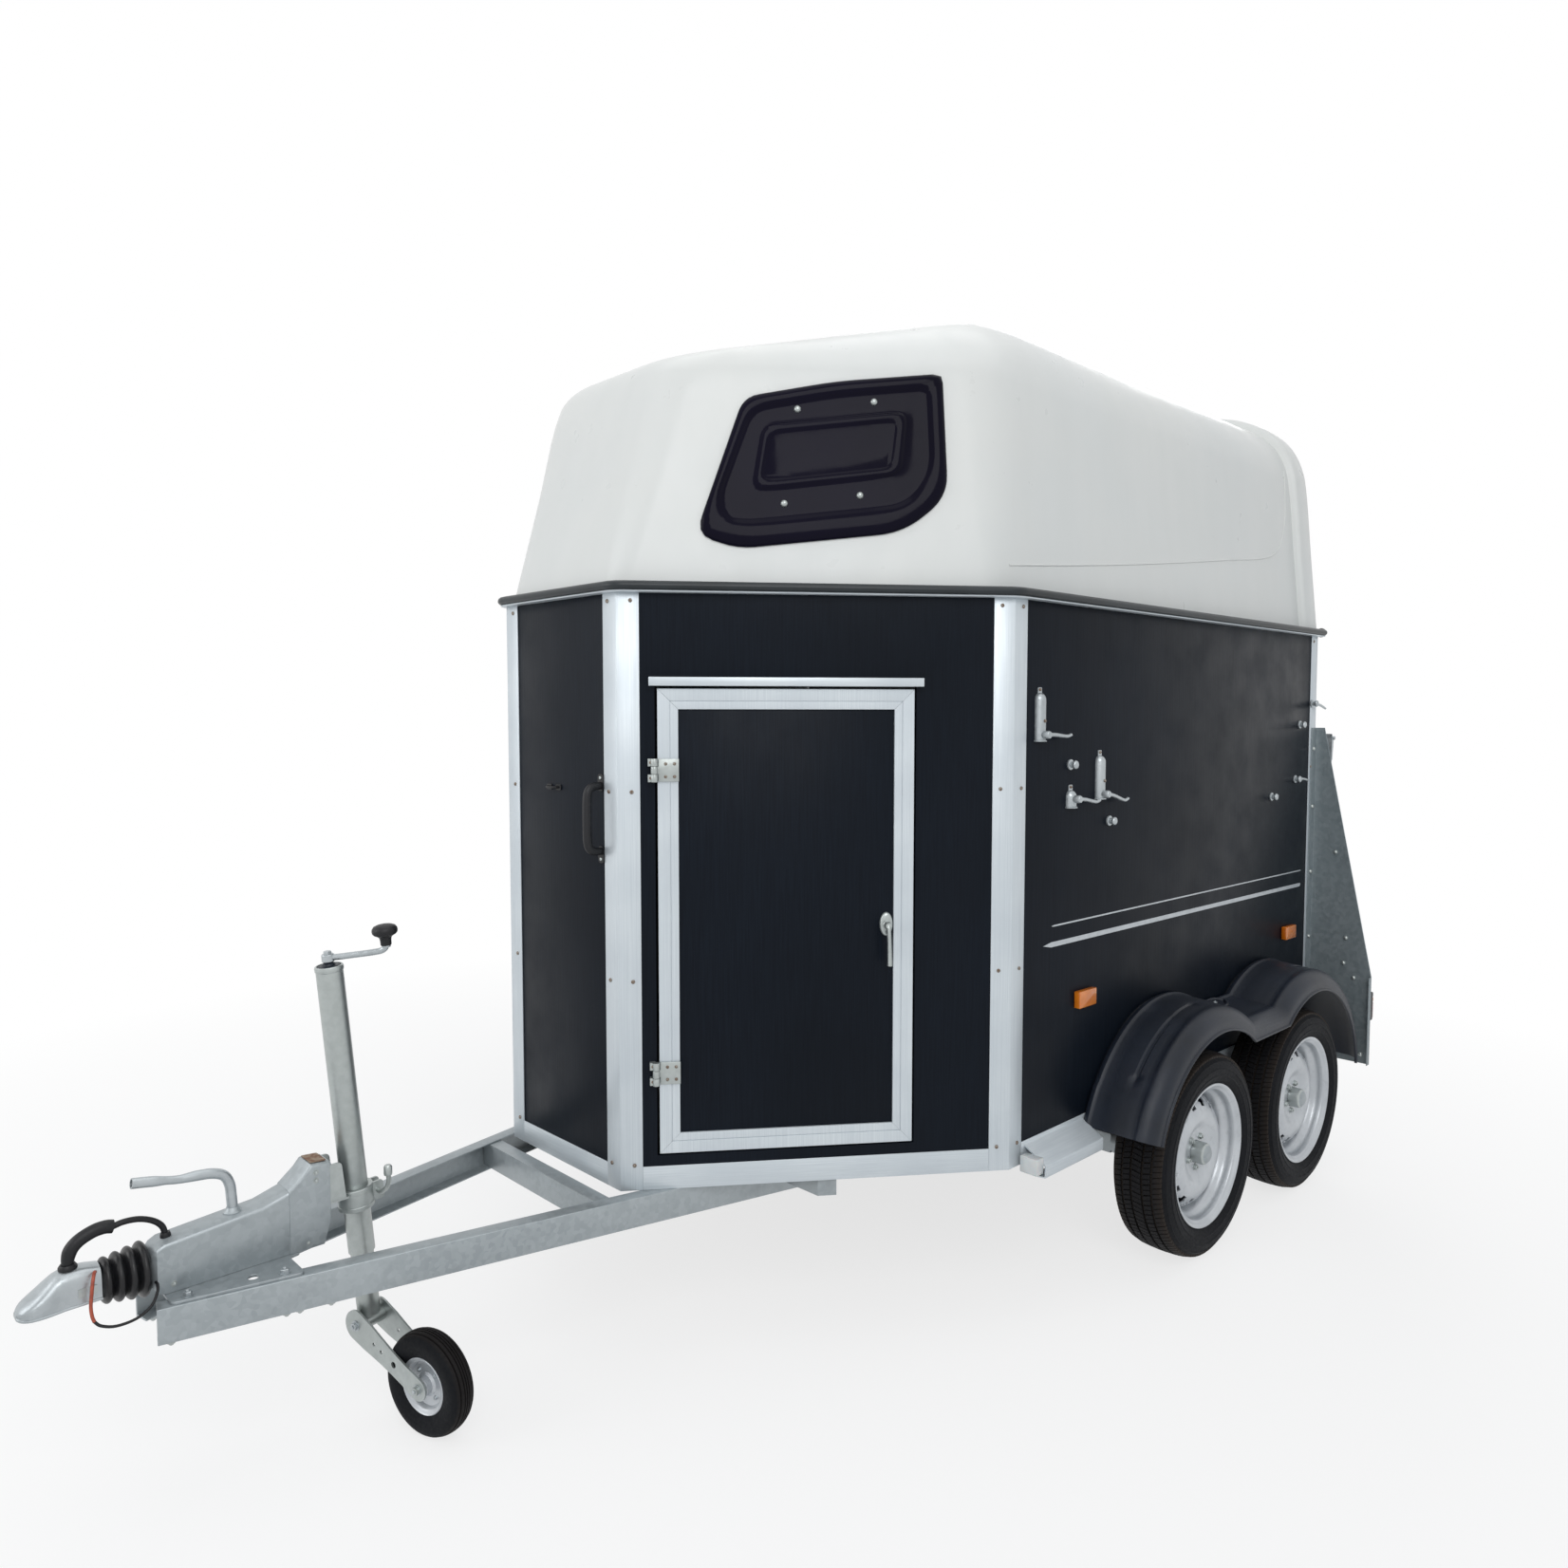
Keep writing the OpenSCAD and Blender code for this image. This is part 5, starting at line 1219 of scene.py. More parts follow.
# A thin black slab on the key cylinder: painted shade for the dark inside the keyway.
key_slot = slab("key_slot", mm(((-.9, -4.2), (.9, -4.2), (.9, 4.2), (-.9, 4.2))), 0.001, 0.0016, key_place)
settle(key_slot, grip_black, "aluminium", body="door")

# %% Screws of the hinges
hinge_screws, leaf_screws = [], []
for z in (0.713, 1.478):
    hinge_screws += [(on_slant(s0 + s, 0.0122, z + up), slant_out)
                     for up in (0.013, 0.045) for s in (0.020, 0.042)]
    leaf_screws += [(on_slant(s0 - 0.017, 0.0172, z + up), slant_out) for up in (0.0095, 0.0485)]
fasten("door_hinge_screws", hinge_screws, pan_head, 0.0042, rusty_zinc, "aluminium", "door")
fasten("wall_hinge_screws", leaf_screws, pan_head, 0.0038, rusty_zinc, "aluminium")
print("hinge screws:", len(hinge_screws) + len(leaf_screws))

# %% [markdown]
# The overrun housing is one loft over sections that grow towards the jockey wheel. It stands on a flange
# plate with rounded corners between the beams, and a ring clamp on its rear holds the jockey tube.

# %% Overrun housing and flange plate
HOUSING = (
    # ahead of the jockey tube, half width, low and high edge over the flange, cut corner (mm)
    (442, 30, 28, 94, 6), (432, 36, 12, 105, 9), (417, 37, 6, 113, 10), (222, 37, 6, 131, 10),
    (167, 37, 6, 148, 10), (132, 37, 6, 178, 10), (118, 37, 6, 194, 8), (92, 37, 6, 192, 8),
    (72, 37, 120, 190, 8),
)
# The jockey wheel's place ahead of the front wall and the height of the coupling (m), the cover's sheet (mm)
JOCKEY_X, TOW_Z, COVER = 0.568, 0.480, 1.6
tube_foot = axes(Vector((front_x + JOCKEY_X, 0, wall_low)), AHEAD, LEFT, UP)
tube_side = tube_foot @ axes(Vector(), AHEAD, UP, -LEFT)


def on_nose(points):
    """Points given ahead of the front wall, to the left and over the ground, in millimetres."""
    return [(front_x + x, y, z) for x, y, z in mm(points)]


def housing_ring(ahead, w, low, top, cut, more=0):
    """A ring of the housing, widened by so much for the cover over it."""
    w, top = w + more, top + more
    half = [(w, low), (w, top - cut), (w - cut * 0.1, top - cut * 0.6), (w - cut * 0.35, top - cut * 0.28),
            (w - cut, top)]
    outline = [(-w, low)] + half + [(-y, z) for y, z in half[:0:-1]]
    return [tube_foot @ Vector(p) for p in mm((ahead, y, z) for y, z in outline)]


def beam_edge(ahead):
    """How far the beams' outer faces lie from the middle, at a place ahead of the jockey wheel's tube."""
    return 0.080 + (1.015 - JOCKEY_X - ahead) * math.tan(math.radians(13.3))


housing = skin("housing", [housing_ring(*row) for row in HOUSING])
round_edges(housing, 0.002, 2, 30)
covered = HOUSING[4:-1] + ((76, 37, 62, 190, 8),)
cover = skin("housing_cover", [housing_ring(*row, COVER) for row in covered])
round_edges(cover, 0.0008, 1, 30)
PLATE_FROM, PLATE_TO = 0.172, 0.420
plate_corners = [(PLATE_TO, beam_edge(PLATE_TO) - 0.006, 0.012),
                 (PLATE_FROM, beam_edge(PLATE_FROM) - 0.006, 0.016),
                 (PLATE_FROM, 0.046, 0.006), (PLATE_FROM - 0.024, 0.040, 0.004)]
plate_outline = arc_points(plate_corners + [(x, -y, r) for x, y, r in plate_corners[::-1]], 6)
flange = slab("flange", plate_outline, 0, 0.006, tube_foot)
slots = [turned("hole", ((0, -4), (11, -4), (11, 12), (0, 12)),
                tube_foot @ Matrix.Translation((0.262, y, 0)), 24) for y in (-0.084, 0.084)]
cut_away(flange, joined("flange_holes", slots))
round_edges(flange, 0.0008, 1, 30)
settle(joined("overrun_body", [housing, flange]), steel, STEEL, "overrun_housing", angle=25)
settle(cover, steel, STEEL, angle=25)

# %% Jockey wheel's clamp and the bolts on the drawbar
# The jockey tube leans forwards by this angle
LEAN = math.radians(5.1)
tube_place = axes(Vector((front_x + JOCKEY_X, 0, TOW_Z)), Vector((math.cos(LEAN), 0, -math.sin(LEAN))), LEFT,
                  Vector((math.sin(LEAN), 0, math.cos(LEAN))))
LOOP = ((-48, -20, 40), (-48, 20, 40), (-50, 34, 42), (-56, 46, 52), (-60, 54, 70), (-58, 58, 92))
lug_place = tube_place @ axes(Vector(), AHEAD, UP, -LEFT)
CLAMP_RING = ((30.4, 14), (39, 14), (40.5, 15.5), (40.5, 24), (39.4, 25), (39.4, 55), (40.5, 56),
              (40.5, 64.5), (39, 66), (30.4, 66))
clamp = [turned("clamp_ring", CLAMP_RING, tube_place, 48, True),
         tube("clamp_loop", [tube_place @ Vector(p) for p in mm(LOOP)], 0.0055, 14, 5),
         turned("loop_end", ((0, 0), (8.5, 0), (9.5, 3), (9.5, 20), (7, 24), (0, 24.5)),
                Matrix.Translation(tube_place @ Vector((-0.058, 0.058, 0.086))), 16),
         rounded_plate("brace", oblong(30, 80, -38, 38, 6, 2), 94, 98.5, tube_foot)]
for side in (-1, 1):
    clamp.append(rounded_plate("clamp_lug", ((-62, 18, 8), (-34, 18, 0), (-34, 62, 0), (-62, 62, 8)),
                               side * 12 - 3, side * 12 + 3, lug_place))
for side in (-1, 1):
    clamp.append(rounded_plate("cheek", ((40, 98, 4), (82, 98, 4), (82, 184, 10), (50, 184, 10)),
                               side * 35.5 - 2.5, side * 35.5 + 2.5, tube_side))
settle(joined("jockey_clamp", clamp), zinc, STEEL, angle=35)
rust_place = axes(tube_foot @ Vector((0.0975, 0, 0.1956)), Vector((1, 0, 0.076)).normalized(), LEFT,
                  Vector((-0.076, 0, 1)).normalized())
rust = rounded_plate("riser_top", oblong(-17, 19, -29, 29, 4), 0, 0.9, rust_place, 3)
settle(rust, rusty_steel, STEEL, angle=25)


def drawbar_bolts(name, places, way, radius, material):
    """Bolts at (ahead of the jockey tube, from the middle, over the flange) on both sides."""
    fasten(name, both_sides([(tube_foot @ Vector(p), way) for p in places]), hex_head, radius, material)


flange_bolts = [(ahead, beam_edge(ahead) - 0.026, 0.006) for ahead in (0.206, 0.386)]
beam_bolts = [(ahead, beam_edge(ahead) - 0.022, -0.075) for ahead in (0.418, 0.206, 0.180, 0.118)]
RISER_BOLTS = ((0.108, 0.0387, 0.176), (0.108, 0.0387, 0.158), (0.128, 0.0371, 0.020),
               (0.402, 0.0371, 0.024))
drawbar_bolts("flange_bolts", flange_bolts, UP, 0.0125, bright_steel)
drawbar_bolts("beam_bolts", beam_bolts, -UP, 0.0135, zinc)
drawbar_bolts("riser_bolts", RISER_BOLTS, LEFT, 0.0065, zinc)
print("bolts a side:", len(flange_bolts) + len(beam_bolts) + len(RISER_BOLTS))

# %% [markdown]
# The jockey wheel's outer tube ends in a bright rolled lip. A stem rises out of it to the crank: a flat
# hub with its nut, a bent arm and a black plastic knob on a cone.

# %% Jockey tube and crank
# Heights along the tube (mm), then the crank's length (m) and how far it is turned
TUBE_TOP, TUBE_LOW, ROD_LOW = 594, -95, -250
CRANK, CRANK_TURN = 0.136, math.radians(136)
outer = turned("outer_tube", (
    (26.6, TUBE_LOW), (29.4, TUBE_LOW), (29.9, TUBE_LOW + 1), (29.9, TUBE_TOP - 12), (31.4, TUBE_TOP - 10),
    (31.8, TUBE_TOP - 4), (31, TUBE_TOP), (29, TUBE_TOP + 1.5), (26.6, TUBE_TOP + 1)), tube_place, 48, True)
settle(outer, zinc, STEEL, "jockey_tube", angle=35)
top_place = tube_place @ Matrix.Translation((0, 0, TUBE_TOP / 1000))
STEM = ((0, -6), (26.4, -6), (26.4, -1), (22, 1), (15, 2), (13.5, 6), (10.5, 8), (10.5, 26), (0, 26))
settle(turned("stem", STEM, top_place, 32), guard_black, "black plastic", angle=35)
crank_place = top_place @ Matrix.Rotation(CRANK_TURN, 4, "Z")
knob_place = crank_place @ Matrix.Translation((CRANK, 0, 0))
ARM = ((4, 19), (30, 20), (60, 22), (90, 24), (112, 26), (124, 28), (132, 33), (135.5, 40), (136, 50))
HUB = ((0, 10), (12.5, 10), (14, 11.5), (14, 26), (12.8, 27.5), (8, 28), (7.6, 31), (5, 32), (0, 32))
crank = [turned("crank_hub", HUB, crank_place, 32),
         turned("crank_nut", ((0, 27), (9.6, 27), (9.6, 33), (8.4, 34.5), (0, 35)), crank_place, 6),
         tube("crank_arm", [crank_place @ Vector((x, 0, z)) for x, z in mm(ARM)], 0.0072, 16, 5),
         turned("knob_collar", ((0, 36), (9.5, 36), (10, 37), (10, 41), (9, 42), (0, 42)), knob_place, 24)]
settle(joined("crank", crank), bright_steel, STEEL, "jockey_crank", angle=35)
knob = turned("crank_knob", (
    (0, 40), (11, 40), (12, 41.5), (12.4, 52), (13.6, 58), (18, 62), (24, 65), (27.6, 69), (28.4, 74),
    (27.6, 79),
    (24, 84), (17, 87), (9, 88.6), (0, 89)), knob_place, 36)
settle(knob, grip_black, "black plastic", angle=60)

# %% [markdown]
# The inner tube carries a fork of two pressed plates. Each has a round head on the tube's bolt, narrows
# down to the axle and has a slot and two small holes. The wheel turns on the axle's bushes.

# %% Jockey fork
TRAIL, WHEEL_R, GAP, ARM_T, HEAD_R, FOOT_R, HEAD_DROP = 0.203, 0.120, 0.033, 0.005, 0.036, 0.026, 0.018
# The arm's half width at shares of its length, then the holes as a share and a radius (mm)
WAIST = ((0.2, 0.034), (0.35, 0.030), (0.5, 0.0270), (0.65, 0.0252), (0.8, 0.0248))
FORK_HOLES = ((0.30, 4.5), (0.42, 4.5), (0.62, 7.5))
fork_turn = math.radians(106)
fork_left = Vector((-math.sin(fork_turn), math.cos(fork_turn), 0))
fork_place = axes(Vector((front_x + JOCKEY_X + ROD_LOW / 1000 * math.sin(LEAN), 0, 0)),
                  Vector((math.cos(fork_turn), math.sin(fork_turn), 0)), UP, -fork_left)
fork_head = Vector((0, TOW_Z + ROD_LOW / 1000 * math.cos(LEAN) - HEAD_DROP))
fork_foot = Vector((TRAIL, WHEEL_R))
fork_way = (fork_foot - fork_head).normalized()
fork_across = Vector((-fork_way.y, fork_way.x))
head_place, axle_place = (fork_place @ Matrix.Translation((p.x, p.y, 0)) for p in (fork_head, fork_foot))


def arm_outline():
    """A round head and a round foot joined by two slightly hollow edges."""
    round_head = [(fork_across * math.cos(a) - fork_way * math.sin(a)) * HEAD_R
                  for a in (math.pi * k / 16 for k in range(17))]
    round_foot = [(fork_way * math.sin(a) - fork_across * math.cos(a)) * FOOT_R
                  for a in (math.pi * k / 12 for k in range(13))]
    far = [fork_head.lerp(fork_foot, share) - fork_across * wide for share, wide in WAIST]
    near = [fork_head.lerp(fork_foot, share) + fork_across * wide for share, wide in WAIST]
    return [fork_head + p for p in round_head] + far + [fork_foot + p for p in round_foot] + near[::-1]


fork_plates = joined("fork_plates", [slab("fork_arm", arm_outline(), low, low + ARM_T, fork_place)
                                     for low in (-GAP - ARM_T, GAP)])
holes = []
for share, r in FORK_HOLES:
    middle = fork_head.lerp(fork_foot, share)
    holes.append(turned("hole", ((0, -60), (r, -60), (r, 60), (0, 60)),
                        fork_place @ Matrix.Translation((middle.x, middle.y, 0)), 16))
cut_away(fork_plates, joined("fork_holes", holes))
round_edges(fork_plates, 0.0008, 1, 30)
ROD = ((0, ROD_LOW - 2), (25, ROD_LOW - 2), (26, ROD_LOW), (26, 60), (0, 60))
PIN = ((0, -47.5), (9.5, -47.5), (9.8, -46), (9.8, 46), (9.5, 47.5), (0, 47.5))
fork = [fork_plates, turned("inner_tube", ROD, tube_place, 40),
        turned("fork_boss", ((0, -33), (19, -33), (19, 33), (0, 33)), head_place, 32),
        turned("axle_pin", PIN, axle_place, 24)]
settle(joined("jockey_fork_plates", fork), zinc, STEEL, "jockey_fork", body="jockey_swivel", angle=30)
fork_bolts = [(place @ Vector((0, 0, side * (GAP + ARM_T))), -fork_left * side)
              for side in (-1, 1) for place in (head_place, axle_place)]
fasten("fork_bolts", fork_bolts, hex_head, 0.0125, bright_steel, STEEL, "jockey_swivel")
print("fork's bolts:", len(fork_bolts))

# %% [markdown]
# The small wheel has a solid tyre with a shallow tread on a pressed rim of two halves, bolted together.

# %% Jockey wheel
TYRE_HALF = ((60, 14), (62, 19), (66, 22), (72, 25.5), (80, 28.6), (90, 30.8), (98, 31.2), (105, 29.6),
             (111, 26), (114.5, 21.5), (115.6, 17.8), (112.6, 16.9), (112.6, 15.4), (117.4, 14.6),
             (118.6, 10), (118.8, 8), (115.6, 7.4), (115.6, 5.6), (119.2, 5.0), (119.4, 1.6),
             (116.4, 1.2))
SMALL_RIM = ((10.2, -28), (19, -28), (21, -26), (23, -14), (28, -9), (44, -7.4), (49, -9), (53, -17),
             (56.5, -20.5), (60, -21.4), (64, -24.5), (65.6, -23), (62, -17.5), (61, -14))
small_tyre = turned("small_tyre", both_halves(TYRE_HALF), axle_place, 72, True)
to_axle = axle_place.inverted()
add_dust(small_tyre, lambda p: 0.25 if (to_axle @ p).xy.length > 0.112 else 0.0)
settle(small_tyre, tyre_black, "tyre", "jockey_tyre", body="jockey_wheel", angle=30)
small_rim = turned("small_rim", both_halves(SMALL_RIM), axle_place, 64, True)
settle(small_rim, silver, "rim", "jockey_rim", body="jockey_wheel", angle=35)
SMALL_BOLTS_R, SMALL_DISC_OUT = 0.036, 0.0078
rim_bolts = [(axle_place @ Vector((SMALL_BOLTS_R * math.cos(a), SMALL_BOLTS_R * math.sin(a),
                                   side * SMALL_DISC_OUT)), -fork_left * side)
             for a in turns(4, 0.5) for side in (-1, 1)]
fasten("small_rim_bolts", rim_bolts, hex_head, 0.0062, bright_steel, "rim", "jockey_wheel")
print("jockey wheel's bolts:", len(rim_bolts))

# %% [markdown]
# The coupling head is pressed from one sheet: a lip runs round its foot, the sides lean in a little and
# the top is rounded towards the nose. Rings follow the solid's own sections, with a smooth curve between.

# %% Coupling head with its ball socket
ball = Vector((front_x + 1.202, 0, TOW_Z))
ball_place = axes(ball, AHEAD, LEFT, UP)
BALL_R, HEAD_LOW = 25.2, -3
HEAD = (
    # ahead of the ball, half width, top over the ball (mm)
    (-104, 31, 61), (-72, 32, 67), (-37, 33, 65), (-17, 37, 53), (0, 38, 39), (16, 36, 27), (28, 29, 19),
    (35, 19, 11), (38, 9, 5),
)
HEAD_STEPS = (-104, -95, -84, -72, -60, -48, -37, -27, -17, -8, 0, 8, 16, 22, 28, 32, 35, 37, 38)
LIP = 4
# The sides lean in by these shares of the half width and of the height
HEAD_SIDE = ((.985, .42), (.95, .62), (.88, .77), (.76, .88), (.58, .95), (.32, .987))
head_width, head_top = (curve_through([row[0] for row in HEAD], [row[k] for row in HEAD]) for k in (1, 2))


def head_ring(x):
    w, h = head_width(x), head_top(x) - HEAD_LOW
    side = [(w + LIP, 0), (w + LIP, LIP - 1), (w + LIP - 1, LIP), (w + 0.8, LIP + 0.6), (w, 2 * LIP)]
    side += [(w * a, h * b) for a, b in HEAD_SIDE] + [(0, h)]
    outline = side + [(-y, z) for y, z in side[-2::-1]]
    return [ball_place @ Vector(p) for p in mm((x, y, HEAD_LOW + z) for y, z in outline)]


head = skin("coupling_head_press", [head_ring(x) for x in HEAD_STEPS])
dome = [(BALL_R * math.cos(a), BALL_R * math.sin(a)) for a in (math.pi / 2 * k / 8 for k in range(9))]
cut_away(head, turned("socket", [(0, -50), (BALL_R, -50)] + dome, ball_place, 32))
neck_place = axes(Vector((front_x + 1.0103, 0, 0.500)), UP, LEFT, AHEAD)
neck = turned("neck", ((0, 0), (26, 0), (26, 92), (0, 92)), neck_place, 40)
marks = []
for ahead in (-96, -76):
    for side in (-1, 1):
        mark_place = axes(ball + LEFT * side * 0.0312, AHEAD, UP, LEFT * side)
        marks.append(rounded_plate("mark", oblong(ahead, ahead + 14, 12, 30, 2), 0, 1.6, mark_place, 3))
settle(joined("head_marks", marks), zinc, STEEL)
settle(joined("coupling_head_press", [head, neck]), bright_steel, STEEL, "coupling_head", angle=30)
print("coupling head rings:", len(HEAD_STEPS))

# %% [markdown]
# The bellows keep the sliding neck clean. They are turned from a row of round lobes that shrink towards
# the coupling. The grip above them is thick soft plastic, with a thinner cable that runs back into the
# housing; a thin red wire and its black lead hang below in one loop.

# %% Bellows, grip and leads
BELLOWS_LONG, FOLDS = 87.7, 4
profile = [(26.5, 0)]
for fold in range(FOLDS):
    for t in (k / 12 for k in range(1, 12)):
        swell = math.sin(math.pi * t) ** 0.55
        profile.append((57 - 3.5 * fold - 17 * (1 - swell), (fold + t) * BELLOWS_LONG / FOLDS))
profile += [(30, BELLOWS_LONG * 0.992), (26.5, BELLOWS_LONG)]
settle(turned("bellows_rubber", profile, neck_place, 56, True), bellows_black, "rubber", "bellows", angle=60)
GRIP = ((1150, 0, 549), (1149, 0, 566), (1143, 0, 583), (1128, 0, 597), (1104, 0, 607), (1084, 0, 609),
        (1070, 0, 606))
CABLE = ((1072, 0, 605), (1050, 0, 609), (1022, 0, 606), (996, 0, 594), (979, 0, 576), (974, 0, 552))
LEAD = ((1121, 61, 451), (1110, 67, 440), (1085, 72, 432), (1050, 73, 434), (1022, 70, 448), (1008, 62, 468),
        (1004, 50, 479), (1004, 38, 480))
RED_LEAD = ((1108, 24, 533), (1112, 36, 537), (1117, 47, 527), (1121, 53, 505), (1124, 56, 480),
            (1123, 59, 461), (1120, 62, 450))
grip = [tube("grip", on_nose(GRIP), lambda t: 0.0112 + 0.0022 * smooth_step(0.05, 0.3, t), 20, 5),
        turned("grip_foot", ((0, 0), (17, 0), (17, 4), (13.5, 9), (0, 9)),
               Matrix.Translation(on_nose([(1150, 0, 546.5)])[0]), 24)]
settle(joined("coupling_grip", grip), grip_black, "black plastic", "coupling_handle", angle=50)
leads = [tube("cable", on_nose(CABLE), 0.0062, 12, 5),
         turned("cable_end", ((0, -2), (10.5, -2), (10.5, 6), (8.5, 11), (0, 11)),
                Matrix.Translation(on_nose([(974, 0, 552.5)])[0]), 16),
         tube("lead", on_nose(LEAD), 0.003, 10, 5)]
settle(joined("brake_leads", leads), grip_black, "rubber", "brake_cables", angle=50)
settle(tube("red_lead", on_nose(RED_LEAD), 0.0034, 10, 5), wire_red, "rubber", angle=50)
print("bellows folds:", FOLDS)

# %% [markdown]
# The handbrake is a bent tube: it rises from the housing, bends forwards and is pressed a little flatter
# in its waist. Its end stays open, so the tube is a skin with a wall.

# %% Handbrake lever
BRAKE = ((841, 0, 566), (843, 0, 600), (846, 0, 628), (857, 0, 650), (880, 0, 661), (910, 0, 665),
         (945, 0, 667), (975, 0, 673), (1005, 0, 679), (1034, 0, 684))


def brake_size(t):
    return 0.011 - 0.0022 * smooth_step(0.55, 0.68, t) * (1 - smooth_step(0.74, 0.86, t))


brake_route = smooth_route(on_nose(BRAKE), 6)
brake_inside = tube_rings(brake_route[-8:], 0.0085, 24)
lever = skin("handbrake_tube", tube_rings(brake_route, brake_size, 24) + brake_inside[::-1])
settle(lever, bright_steel, STEEL, "handbrake_lever", angle=40)
brake_foot = turned("handbrake_foot", ((0, -3), (20, -3), (20, 2), (14.5, 7), (12.5, 12), (0, 12)),
                    Matrix.Translation(on_nose(BRAKE[:1])[0]), 24)
settle(brake_foot, steel, STEEL)

# %% [markdown]
# Spring bolts in the side walls drop the bars inside. Each has a half-round cover with a domed top and a
# small ear, and a thin lever that points to the rear. Plain studs with dome caps hold the rest.

# %% Release levers and studs
LEVERS = (
    # behind the front wall, the cover's foot and height, the lever's height, its end behind and up (mm)
    (936, 1574, 130, 1592, 1054, 1589), (1244, 1405, 126, 1420, 1365, 1400),
    (1093, 1388, 50, 1413, 1208, 1403),
)
STUDS, REAR_STUDS = ((1091, 1508), (1303, 1339)), ((382, 1354), (176, 1410), (146, 1612), (44, 1691))
# The rear levers: which stud each one sits on, how far it reaches and drops (mm)
REAR_LEVERS = ((1, 66, 6), (3, 82, 18))
STUD = ((0, 0), (15, 0), (15.4, 1.2), (14.6, 4.6), (12, 6), (9, 6.6), (8.6, 11), (10.4, 14), (12.2, 17.5),
        (12, 20.5), (9.6, 23.4), (5, 25), (0, 25.4))
BOSS = ((0, 12), (11, 12), (11, 33), (9, 36), (6, 36.5), (0, 36.5))
# The cover's dome: shares of the half width and how far below the top
COVER_DOME = ((1, 1), (.97, .75), (.87, .5), (.7, .28), (.45, .1), (.2, .02), (0, 0))
COVER_W, LEVER_OUT = 19, 0.030


def on_left(x, z, out=0.0):
    return axes(Vector((x, half_w + out, z)), AHEAD, UP, LEFT)


def lever_cover(x, foot, height):
    """A half-round pressed cover on the left wall, with a flange at its foot and a domed top."""
    w = COVER_W
    dome = [(w * a, height - w * b) for a, b in COVER_DOME]
    profile = mm([(0, 0), (w + 3, 0), (w + 3, 3), (w, 4.5)] + dome)
    rings = [[Vector((x + r * math.cos(a), half_w + r * math.sin(a), foot + h)) for r, h in profile]
             for a in (math.pi * k / 14 for k in range(15))]
    return skin("lever_cover", rings)


levers, lever_screws = [], []
for behind, foot, height, pivot, end, end_z in LEVERS:
    x, foot, end_x, end_z = front_x - behind / 1000, foot / 1000, front_x - end / 1000, end_z / 1000
    levers.append(lever_cover(x, foot, height))
    levers.append(rounded_plate("ear", oblong(-9, 9, height - 8, height + 14, 4), 0, 3, on_left(x, foot)))
    lever_screws += [(Vector((x, half_w + out, foot + up / 1000)), LEFT)
                     for out, up in ((0.003, height + 8), (0.0195, height * 0.42))]
    levers.append(turned("boss", BOSS, on_left(x, pivot / 1000), 20))
    start = Vector((x, half_w + LEVER_OUT, pivot / 1000))
    tip = Vector((end_x, half_w + LEVER_OUT - 0.004, end_z + 0.002))
    middle = start.lerp(tip, 0.8)
    middle.z = end_z - 0.0015
    route = (start, start.lerp(tip, 0.3), middle, tip)
    levers.append(tube("lever", route, lambda t: 0.0062 - 0.0018 * t, 12, 4))
for number, far, drop in REAR_LEVERS:
    ahead, z = REAR_STUDS[number]
    start = Vector((rear_x + ahead / 1000, half_w + 0.017, z / 1000))
    tip = start + Vector((-far / 1000, 0.006, -drop / 1000))
    route = (start, start.lerp(tip, 0.5) + UP * 0.003, tip)
    levers.append(tube("lever", route, lambda t: 0.0055 - 0.0015 * t, 12, 4))
stud_places = [(front_x - behind / 1000, z / 1000, 0.0) for behind, z in STUDS]
stud_places += [(rear_x + ahead / 1000, z / 1000, 0.003 if ahead < 60 else 0.0) for ahead, z in REAR_STUDS]
levers += [turned("stud", STUD, on_left(*stud), 24) for stud in stud_places]
settle_pair(joined("release_controls_left", levers), bright_steel, STEEL, (["release_levers"], ()), 40)
fasten("lever_screws", both_sides(lever_screws), dome_head, 0.0045, rusty_zinc)
print("levers and studs a side:", len(LEVERS) + len(REAR_LEVERS), len(stud_places))

# %% [markdown]
# The grab handle is moulded in one piece: a bow with flat oval feet, a little thicker in its middle.

# %% Grab handle
handle_low, handle_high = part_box("grab_handle")
handle_y = (handle_low.y + handle_high.y) / 2
low, high = handle_low.z + 0.012, handle_high.z - 0.012
HANDLE = ((2, 0), (24, 1), (39, 9), (45, 30))
half_bow = [(front_x + out, up) for out, up in mm(HANDLE)]
route = [(x, handle_y, low + up) for x, up in half_bow] + [(front_x + 0.046, handle_y, (low + high) / 2)]
route += [(x, handle_y, high - up) for x, up in half_bow[::-1]]
handle = [tube("bow", route, lambda t: 0.0095 + 0.0022 * math.sin(math.pi * t), 20, 6, 0.85)]
for z, y0, y1 in ((low, -30, 13), (high, -13, 30)):
    handle.append(rounded_plate("foot", oblong(-12.5, 12.5, y0, y1, 11), 0, 5,
                                axes(Vector((front_x, handle_y, z)), LEFT, UP, AHEAD), 5))
settle(joined("grab_handle_bow", handle), grip_black, "black plastic", "grab_handle", angle=45)
handle_screws = [(Vector((front_x + 0.005, handle_y, z)), AHEAD) for z in (low - 0.020, high + 0.020)]
fasten("handle_screws", handle_screws, pan_head, 0.0045, zinc, "black plastic")

# %% [markdown]
# Between its two arches each guard has an oval hollow with a raised rim, where a bolt holds it to the
# wall's bracket. Shapes that follow a moulded surface are found by looking straight at it from outside.

# %% Guard bolt's hollow and the hood's fine line
def on_surface(made, start, way):
    """Where a look from the start meets the piece, or None."""
    hit, place = made.ray_cast(start, way)[:2]
    return place if hit else None


